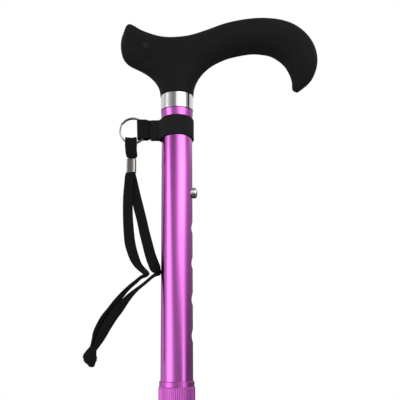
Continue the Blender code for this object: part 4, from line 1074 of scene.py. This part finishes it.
def make_collar(shaft, look):
    """Bright collar with rolled edges."""
    low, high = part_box("collar")
    outer = shaft.collar / 2
    inner = shaft.tube / 2 + shaft.gap
    edge = 0.18 * MM
    foot = low.z + shaft.gap
    middle = (inner, (low.z + high.z) / 2)
    corners = [middle, (inner, high.z, edge), (outer, high.z, edge)]
    corners += [(outer, foot, edge), (inner, foot, edge), middle]
    stand_in("collar_ring", "upper_shaft", "collar", [turned(filleted(corners))], look)


def hole_cell(outer, inner, hole, middle, half_height):
    """The wall round one hole, from the hole's edge to a square border, outside and inside.

    The edge is at a height of edge sin a and an angle of asin(edge cos a / radius). Points lie
    between edge and border as (1 - t) edge + t border. A chamfer runs round the hole outside.
    """
    side = np.linspace(-1, 1, CELL_ROWS + 1)[:-1]
    level = np.linspace(-1, 1, CELL_COLUMNS + 1)
    sides = [stacked(1, side), stacked(-level[:-1], 1), stacked(-1, -side), stacked(level, -1)]
    border_x, border_z = np.concatenate(sides).T
    direction = np.arctan2(border_z * half_height, border_x * CELL_TURN * outer)
    t = np.linspace(0, 1, 13)[:, None]

    def edge_at(radius, edge):
        return np.arcsin(edge * np.cos(direction) / radius), edge * np.sin(direction)

    sheets = []
    for radius, edge in ((outer, hole / 2 + RIM), (inner, hole / 2)):
        turn, height = edge_at(radius, edge)
        turn = (1 - t) * turn + t * border_x * CELL_TURN
        height = (1 - t) * height + t * border_z * half_height
        sheets.append(around_z(radius, turn, middle + height))
    lines = []
    for radius, edge in ((outer, hole / 2 + RIM), (outer - RIM, hole / 2), (inner, hole / 2)):
        turn, height = edge_at(radius, edge)
        lines.append(around_z(radius, turn, middle + height))
    return sheets + [np.stack(lines)]


def pierced_tube(node, outer, inner, hole, holes, half_height, top_line, foot_line):
    """A tube round Z with holes in its +X side. Lines carry its ends from outside to inside.

    top_line runs from the middle of the wall's top to the first cell, foot_line from the last
    cell to the foot's middle, both as (radius, height).
    """
    foot, top = [corner.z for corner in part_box(node)]
    front = np.linspace(-CELL_TURN, CELL_TURN, CELL_COLUMNS + 1)
    back = np.linspace(CELL_TURN, FULL_TURN - CELL_TURN, BAR_STEPS - CELL_COLUMNS + 1)
    around = np.concatenate([front, back[1:]])
    high = holes[0] + half_height
    low = holes[-1] - half_height
    sheets = []
    for middle in holes:
        sheets += hole_cell(outer, inner, hole, middle, half_height)
        levels = np.linspace(middle - half_height, middle + half_height, CELL_ROWS + 1)[:, None]
        sheets += [around_z(radius, back, levels) for radius in (outer, inner)]
    for line in (
        np.vstack([top_line, [(outer, high)]]),
        np.array([tuple(top_line[0]), (inner, top), (inner, high)]),
        np.vstack([[(outer, low)], foot_line]),
        np.array([(inner, low), (inner, foot), tuple(foot_line[-1])]),
    ):
        radius, height = line.T[:, :, None]
        sheets.append(around_z(radius, around, height))
    return sheets


def make_upper_tube(shaft, look):
    """Anodised tube with the rolled lip that carries the collar, and the setting holes."""
    low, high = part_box("upper_tube")
    outer = shaft.tube / 2
    inner = outer - shaft.wall
    middle = (outer + inner) / 2
    holes = [middle_of("snap_button").z - step * shaft.pitch for step in range(shaft.holes)]
    half_height = shaft.pitch / 2
    lead = 2 * MM  # straight wall between a line and the first or last cell
    lip = shaft.collar / 2
    lip_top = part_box("collar")[0].z - shaft.seam
    lip_foot = lip_top - shaft.lip_height
    taper = (lip - outer) / 4
    corners = [(middle, high.z), (outer, high.z, RIM), (outer, lip_top, RIM)]
    corners += [(lip, lip_top, 0.12 * MM), (outer + taper, lip_foot, 0.3 * MM)]
    corners += [(outer, lip_foot - 3 * taper, 0.3 * MM), (outer, holes[0] + half_height + lead)]
    ends = [(outer, holes[-1] - half_height - lead), (outer, low.z, RIM), (middle, low.z)]
    lines = (filleted(corners), filleted(ends))
    sheets = pierced_tube("upper_tube", outer, inner, shaft.hole, holes, half_height, *lines)
    stand_in("upper_tube_wall", "upper_shaft", "upper_tube", sheets, look, 30)


def make_lower_tube(shaft, look):
    """Tube that slides in the upper one."""
    low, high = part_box("lower_tube")
    outer = shaft.lower / 2
    inner = outer - shaft.wall
    middle = (outer + inner) / 2
    holes = [middle_of("snap_button").z]
    half_height = 9 * MM
    lead = 3 * MM
    top_line = filleted([(middle, high.z), (outer, high.z, RIM), (outer, high.z - lead)])
    foot_line = filleted([(outer, low.z + lead), (outer, low.z, RIM), (middle, low.z)])
    lines = (top_line, foot_line)
    sheets = pierced_tube("lower_tube", outer, inner, shaft.lower_hole, holes, half_height, *lines)
    stand_in("lower_tube_wall", "lower_shaft", "lower_tube", sheets, look, 30)


def make_button(shaft, look):
    """Domed button on its flange, turned round X.

    The dome is (x / dome)^2.4 + (r / radius)^2.4 = 1.
    """
    low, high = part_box("snap_button")
    radius = shaft.button / 2
    flange = shaft.flange / 2
    back = low.x + 0.8 * MM  # the flange's front face
    chamfer = 0.3 * MM
    rise = np.linspace(0, math.pi / 2, 14)
    blunt = 2 / 2.4
    height = high.x - shaft.dome * (1 - np.cos(rise) ** blunt)
    rest = [(radius, back + chamfer), (radius + chamfer, back), (flange, back), (flange, low.x), (0, low.x)]
    sheet = turned(np.vstack([stacked(radius * np.sin(rise) ** blunt, height), rest]), SMALL_STEPS)
    sheet = sheet[..., [2, 0, 1]] + (0, 0, middle_of("snap_button").z)
    stand_in("button_dome", "button", "snap_button", [sheet], look)


def make_nut(shaft, look):
    """Lock nut: a turned body whose grip is cut by round flutes.

    The radius is the profile's or the flute cutter's near side, whichever is less:
    c cos a - sqrt(r^2 - (c sin a)^2), for a cutter of radius r at c from the axis.
    """
    low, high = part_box("lock_nut")
    grip = shaft.nut_grip / 2
    neck = shaft.nut_neck / 2
    bore = shaft.nut_bore / 2
    foot_bore = shaft.lower / 2 + 2 * shaft.gap
    bevel = 0.35 * MM
    crisp = 0.1 * MM
    step = 0.6 * MM  # between the bore over the tube and the thread's inner side
    inside = (bore, high.z - 8 * MM)
    top = high.z + shaft.nut_rise
    shoulder = top - shaft.nut_neck_height
    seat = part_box("upper_tube")[0].z - shaft.gap
    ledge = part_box("clamp_ring")[0].z - shaft.gap
    corners = [inside, (bore, top, crisp), (neck - bevel, top, crisp)]
    corners += [(neck, top - bevel, crisp), (neck, shoulder, crisp)]
    corners += [(grip, shoulder - 0.4 * MM, 0.15 * MM), (grip, low.z + 3 * MM, 0.6 * MM)]
    corners += [(neck, low.z, 0.5 * MM), (foot_bore, low.z, 0.3 * MM), (foot_bore, ledge, 0.2 * MM)]
    corners += [(bore - step, ledge, 0.2 * MM), (bore, seat), inside]
    radius, height = filleted(corners, 4).T[:, :, None]
    around = np.linspace(0, FULL_TURN, 8 * shaft.flutes + 1)
    pitch = FULL_TURN / shaft.flutes
    off = (around + pitch / 2) % pitch - pitch / 2
    cutter = grip + shaft.flute_radius - shaft.flute_depth
    reach = shaft.flute_radius**2 - (cutter * np.sin(off)) ** 2
    cut = cutter * np.cos(off) - np.sqrt(np.maximum(reach, 0))
    cut = np.where(reach > 0, cut, grip)
    sheet = around_z(np.minimum(radius, cut), around, height)
    stand_in("nut_body", "nut", "lock_nut", [sheet], look, 30)


def make_ferrule(shaft, look):
    """Rubber foot: beaded mouth, spreading skirt, and ring grooves in the tread."""
    low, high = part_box("ferrule")
    bore = shaft.lower / 2 + shaft.gap
    waist = shaft.ferrule_waist / 2
    bead = shaft.ferrule_bead / 2
    tread = (high.x - low.x) / 2
    sole = 10 * MM
    groove = 1.6 * MM
    rib = 2.2 * MM
    groove_depth = 1.5 * MM
    corners = [(0, sole), (bore, sole, 0.5 * MM), (bore, high.z, 0.4 * MM)]
    corners += [(bead, high.z, 0.9 * MM), (bead, high.z - 4 * MM, 0.8 * MM)]
    corners += [(waist, high.z - 4.8 * MM, 0.6 * MM), (waist, 24 * MM, 5 * MM)]
    corners += [(waist + 2.2 * MM, 15.5 * MM, 3 * MM), (tread, 9 * MM, 1.5 * MM)]
    corners.append((tread, 0, 0.9 * MM))
    inner = tread - 0.8 * MM
    while inner - rib - groove > 5 * MM:
        outer = inner - rib
        inner = outer - groove
        corners += [(outer, 0, 0.2 * MM), (outer, groove_depth, 0.3 * MM)]
        corners += [(inner, groove_depth, 0.3 * MM), (inner, 0, 0.2 * MM)]
    corners.append((0, 0))
    sheet = turned(filleted(corners, 5))
    stand_in("ferrule_rubber", "lower_shaft", "ferrule", [sheet], look, 50)


# Handle

# The crook in side view: points of its upper line and of its lower line, and its width, from nose
# to tip. X is a share of the nose (below 0) or of the reach (above 0), Z a share of the rise, and
# the width a share of the handle's width. The lower line runs on inside the neck.
CROOK = (
    (-1.000, 0.651, -1.000, 0.651, 0.00),
    (-0.993, 0.736, -0.992, 0.573, 0.28),
    (-0.959, 0.815, -0.955, 0.489, 0.50),
    (-0.869, 0.939, -0.880, 0.422, 0.74),
    (-0.609, 0.847, -0.749, 0.367, 0.90),
    (-0.351, 0.780, -0.515, 0.315, 0.95),
    (-0.077, 0.751, -0.077, 0.398, 0.98),
    (0.087, 0.774, 0.087, 0.390, 0.99),
    (0.207, 0.842, 0.207, 0.382, 1.00),
    (0.355, 0.935, 0.355, 0.491, 1.00),
    (0.526, 0.991, 0.526, 0.553, 1.00),
    (0.640, 0.998, 0.605, 0.546, 1.00),
    (0.755, 0.972, 0.665, 0.523, 0.99),
    (0.853, 0.904, 0.714, 0.473, 0.97),
    (0.937, 0.775, 0.764, 0.391, 0.93),
    (0.991, 0.597, 0.799, 0.274, 0.84),
    (0.998, 0.395, 0.813, 0.176, 0.70),
    (0.949, 0.188, 0.816, 0.080, 0.50),
    (0.850, 0.042, 0.850, 0.042, 0.00),
)
CROOK_OVER_NECK = (3, 10)  # rows between which the chords' low ends can be on the neck
NOSE_FLARE_END = 0.78  # share of its rise at which a flare ends, on the crook's lower line
ARM_FLARE_END = 0.90
HANDLE_CHORDS = (28, 24, 60, 90)  # over the nose, each flare, the neck and the arm
HANDLE_SAMPLES = 48
FARTHEST_DOWN = 2.6  # how far a chord is followed from its upper end, in its lengths
HALVINGS = 40  # steps that find a chord's lower end
NECK_FADE = (0.15, 0.45)  # the neck counts from this share of the way down, fully this much on


def neck_flare(height, run, rise, end):
    """How far a flank of the neck has spread at a height, along a quarter ellipse."""
    level = np.clip(height / rise, 0, end)
    return run * (1 - np.sqrt(1 - level**2))


def half_depth_squared(handle, x, height, down, crook):
    """Squared half depth at points a share of the way down their chords.

    The crook is elliptic across each chord. The neck is elliptic across each level, round at the
    collar and spreading upwards. The larger one counts, with a soft joint between them:
    (crook + stem + sqrt((crook - stem)^2 + soft)) / 2.
    """
    neck = handle.neck / 2
    low = -neck - neck_flare(height, handle.nose_run, handle.nose_rise, NOSE_FLARE_END)
    high = neck + neck_flare(height, handle.arm_run, handle.arm_rise, ARM_FLARE_END)
    rise = np.clip(height / handle.nose_rise, 0, 1)
    half = neck + (handle.width / 2 - neck) * eased(rise)
    across = (2 * x - low - high) / (high - low)
    stem = half**2 * (1 - across**2)
    inside = np.maximum(4 * down * (1 - down), 0)
    soft = handle.blend**4 * rise * inside**2
    larger = (crook + stem + np.sqrt((crook - stem) ** 2 + soft)) / 2
    start, width = NECK_FADE
    return crook + eased((down - start) / width) * (larger - crook)


def crook_chords(handle):
    """Chords of the crook from nose to tip, and which of them end on the collar.

    The neck's and the flares' chords are those that, carried on, meet the collar's level where
    the neck is -neck cos a and each flare is run (1 - cos a) beyond it. Past them the chords
    follow quarter waves towards the nose and the tip.
    """
    at_nose, at_flare, at_neck, at_arm = HANDLE_CHORDS
    rows = np.array(CROOK)
    for column in (0, 2):
        rows[:, column] *= np.where(rows[:, column] > 0, handle.reach, handle.nose)
    rows[:, (1, 3)] *= handle.rise
    rows[:, 4] = (rows[:, 4] * handle.width / 2) ** 2
    knots = lengths_of(rows[:, :4], 0.5)
    first, last = CROOK_OVER_NECK
    over_neck = np.linspace(knots[first], knots[last], 400)
    x_top, z_top, x_low, z_low = read_between(rows, knots, over_neck)[:, :4].T
    landing = x_top + (x_low - x_top) * z_top / (z_top - z_low)
    neck = handle.neck / 2
    steps = np.linspace(0, 1, at_flare + 1)[1:]
    nose_side = -neck - handle.nose_run * (1 - np.cos(steps * math.asin(NOSE_FLARE_END)))
    arm_side = neck + handle.arm_run * (1 - np.cos(steps * math.asin(ARM_FLARE_END)))
    across = neck * np.sin(np.linspace(-math.pi / 2, math.pi / 2, at_neck))
    middle = np.interp(np.concatenate([nose_side[::-1], across, arm_side]), landing, over_neck)
    quarter = np.linspace(0, math.pi / 2, at_nose, endpoint=False)
    start = middle[0] * (1 - np.cos(quarter))
    quarter = np.linspace(0, math.pi / 2, at_arm + 1)[1:]
    end = middle[-1] + (knots[-1] - middle[-1]) * np.sin(quarter)
    on_collar = np.zeros(at_nose + len(middle) + at_arm, bool)
    on_collar[at_nose + at_flare : at_nose + at_flare + at_neck] = True
    return read_between(rows, knots, np.concatenate([start, middle, end])), on_collar


def handle_front(handle, foot):
    """Points of the handle's front half: a row per chord, from its upper end down.

    A chord ends where its squared half depth comes down to 0, or on the collar.
    """
    chords, on_collar = crook_chords(handle)
    x_top, z_top, x_low, z_low, crook = chords.T[:, :, None]
    floor = z_top / np.maximum(z_top - z_low, 0.1 * MM)

    def depth(down):
        x = x_top + (x_low - x_top) * down
        z = z_top + (z_low - z_top) * down
        own = 4 * crook * down * (1 - down)
        return x, z, half_depth_squared(handle, x, z, down, own)

    inside = np.full_like(floor, 0.5)
    outside = np.minimum(floor, FARTHEST_DOWN)
    for _ in range(HALVINGS):
        middle = (inside + outside) / 2
        solid = depth(middle)[2] > 0
        inside = np.where(solid, middle, inside)
        outside = np.where(solid, outside, middle)
    end = np.where(on_collar[:, None], floor, inside)
    down = end * (1 - np.cos(np.linspace(0, math.pi, HANDLE_SAMPLES))) / 2
    x, z, squared = depth(down)
    y = -np.sqrt(np.maximum(squared, 0))
    y[:, 0] = 0
    y[~on_collar, -1] = 0
    y[[0, -1]] = 0
    return stacked(x, y, z + foot)


def handle_foot(handle):
    """Height of the cover's foot."""
    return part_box("collar")[1].z + handle.lift


def make_handle(handle, look):
    """Soft cover of the handle, open at the neck, as thick as its wall."""
    front = handle_front(handle, handle_foot(handle))
    back = front[:, ::-1] * (1, -1, 1)
    made = stand_in("handle_cover", "upper_shaft", "handle_skin", [front, back], look, 60)
    solid = made.modifiers.new("Wall", "SOLIDIFY")
    solid.thickness = handle.cover
    solid.offset = -1


# Operators


class STICK_OT_stage(bpy.types.Operator):
    """Adds the camera, the studio light and the floor."""

    bl_idname = "stick.stage"
    bl_label = "Camera, light and floor"

    def execute(self, context):
        stage = context.scene.stick_stage
        make_camera(stage)
        make_world(stage)
        make_lamps()
        make_floor(stage)
        return {"FINISHED"}


class STICK_OT_cord(bpy.types.Operator):
    """Builds the wrist cord: both strands, the loop over the ring, the crimp and the knot."""

    bl_idname = "stick.cord"
    bl_label = "Wrist cord"

    def execute(self, context):
        tape = context.scene.stick_strap
        colours = context.scene.stick_colours
        look = woven_look("braided_cord", colours.cord, (BRAID_RIB, BRAID_PITCH), "XY", True)
        make_strands(tape, look)
        make_cord_loop(tape, look)
        make_knot(tape, look)
        make_crimp(tape, drawn_metal_look("nickel_sleeve", colours.sleeve, 0.2))
        return {"FINISHED"}


class STICK_OT_strap(bpy.types.Operator):
    """Builds the elastic band, the webbing tab with its seams, and the split ring."""

    bl_idname = "stick.strap"
    bl_label = "Band, tab and ring"

    def execute(self, context):
        shaft = context.scene.stick_shaft
        tape = context.scene.stick_strap
        colours = context.scene.stick_colours
        # painted shade and painted light on the ribs: their hollows darker and their crests lighter, by
        # these factors of the colour
        painted_rib_light_and_shade = (0.45, 2.1)
        yarns = (tape.band_rib, BAND_YARN)
        elastic = woven_look("ribbed_elastic", colours.elastic, yarns, "YX", True, painted_rib_light_and_shade)
        webbing = woven_look("webbing", colours.cord, (WEB_RIB, WEB_YARN), "YX", True, painted_rib_light_and_shade)
        thread = woven_look("thread", colours.cord, (0.5 * MM, 0.5 * MM), "ZX")
        make_band(shaft, tape, elastic)
        make_tab(tape, webbing, thread)
        make_ring(tape, drawn_metal_look("nickel_wire", colours.nickel, 0.18, (1, 1, 1)))
        return {"FINISHED"}


class STICK_OT_tubes(bpy.types.Operator):
    """Builds the collar, both tubes and the spring button."""

    bl_idname = "stick.tubes"
    bl_label = "Collar, tubes and button"

    def execute(self, context):
        shaft = context.scene.stick_shaft
        colours = context.scene.stick_colours
        anodised = drawn_metal_look("anodised", colours.anodised, 0.17)
        make_collar(shaft, polished_look("chrome", colours.chrome, 0.1))
        make_upper_tube(shaft, anodised)
        make_lower_tube(shaft, anodised)
        make_button(shaft, drawn_metal_look("steel", colours.steel, 0.15, (1, 1, 1)))
        return {"FINISHED"}


class STICK_OT_foot(bpy.types.Operator):
    """Builds the lock nut and the ferrule."""

    bl_idname = "stick.foot"
    bl_label = "Lock nut and ferrule"

    def execute(self, context):
        shaft = context.scene.stick_shaft
        colours = context.scene.stick_colours
        make_nut(shaft, drawn_metal_look("anodised_nut", colours.nut, 0.3))
        make_ferrule(shaft, rubber_look("ferrule_rubber", colours.ferrule, 0.75, 0.3))
        return {"FINISHED"}


class STICK_OT_handle(bpy.types.Operator):
    """Builds the handle's soft cover."""

    bl_idname = "stick.handle"
    bl_label = "Handle cover"

    def execute(self, context):
        handle = context.scene.stick_handle
        mark = (handle.mark_x, handle_foot(handle) + handle.mark_z, handle.mark / 2)
        rubber = context.scene.stick_colours.rubber
        make_handle(handle, rubber_look("soft_rubber", rubber, 0.6, 0.04, mark))
        return {"FINISHED"}


class STICK_OT_inner_parts(bpy.types.Operator):
    """Gives the pieces inside the stick, which keep their shape, their materials."""

    bl_idname = "stick.inner_parts"
    bl_label = "Inner parts"

    def execute(self, context):
        looks = {
            "handle_core": plastic_look("core_nylon", (0.09, 0.09, 0.1), 0.5),
            "handle_insert": drawn_metal_look("insert_brass", (0.72, 0.52, 0.22), 0.35, (1, 1, 1)),
            "handle_stud": drawn_metal_look("stud_zinc", (0.6, 0.6, 0.6), 0.35, (1, 1, 1)),
            "tube_plug": plastic_look("plug_nylon", (0.75, 0.75, 0.72), 0.5),
            "glide_bush": plastic_look("bush_acetal", (0.02, 0.02, 0.02), 0.45),
            "button_spring": drawn_metal_look("clip_steel", (0.45, 0.45, 0.47), 0.3),
            "clamp_ring": plastic_look("ring_acetal", (0.3, 0.3, 0.31), 0.5),
            "ferrule_washer": drawn_metal_look("washer_zinc", (0.55, 0.55, 0.55), 0.4, (1, 1, 1)),
        }
        for node, look in looks.items():
            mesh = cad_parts[node].data
            mesh.materials.clear()
            mesh.materials.append(look)
        return {"FINISHED"}


STEPS = (
    STICK_OT_stage,
    STICK_OT_cord,
    STICK_OT_strap,
    STICK_OT_tubes,
    STICK_OT_foot,
    STICK_OT_handle,
    STICK_OT_inner_parts,
)


class STICK_PT_sidebar(bpy.types.Panel):
    """Lists the steps that build the stick's looks."""

    bl_label = "Walking stick"
    bl_idname = "STICK_PT_sidebar"
    bl_space_type = "VIEW_3D"
    bl_region_type = "UI"
    bl_category = "Walking stick"

    def draw(self, context):
        for step in STEPS:
            self.layout.operator(step.bl_idname)


GROUPS = {
    "stick_handle": HandleSizes,
    "stick_shaft": ShaftSizes,
    "stick_strap": StrapSizes,
    "stick_colours": StickColours,
    "stick_stage": StageSizes,
}
CLASSES = (*GROUPS.values(), *STEPS, STICK_PT_sidebar)


def register():
    for made in CLASSES:
        bpy.utils.register_class(made)
    for name, group in GROUPS.items():
        setattr(bpy.types.Scene, name, bpy.props.PointerProperty(type=group))


def unregister():
    for name in GROUPS:
        delattr(bpy.types.Scene, name)
    for made in reversed(CLASSES):
        bpy.utils.unregister_class(made)


def main():
    """Registers the add-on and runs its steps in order."""
    register()
    bpy.ops.stick.stage()
    bpy.ops.stick.cord()
    bpy.ops.stick.strap()
    bpy.ops.stick.tubes()
    bpy.ops.stick.foot()
    bpy.ops.stick.handle()
    bpy.ops.stick.inner_parts()


if __name__ == "__main__":
    main()
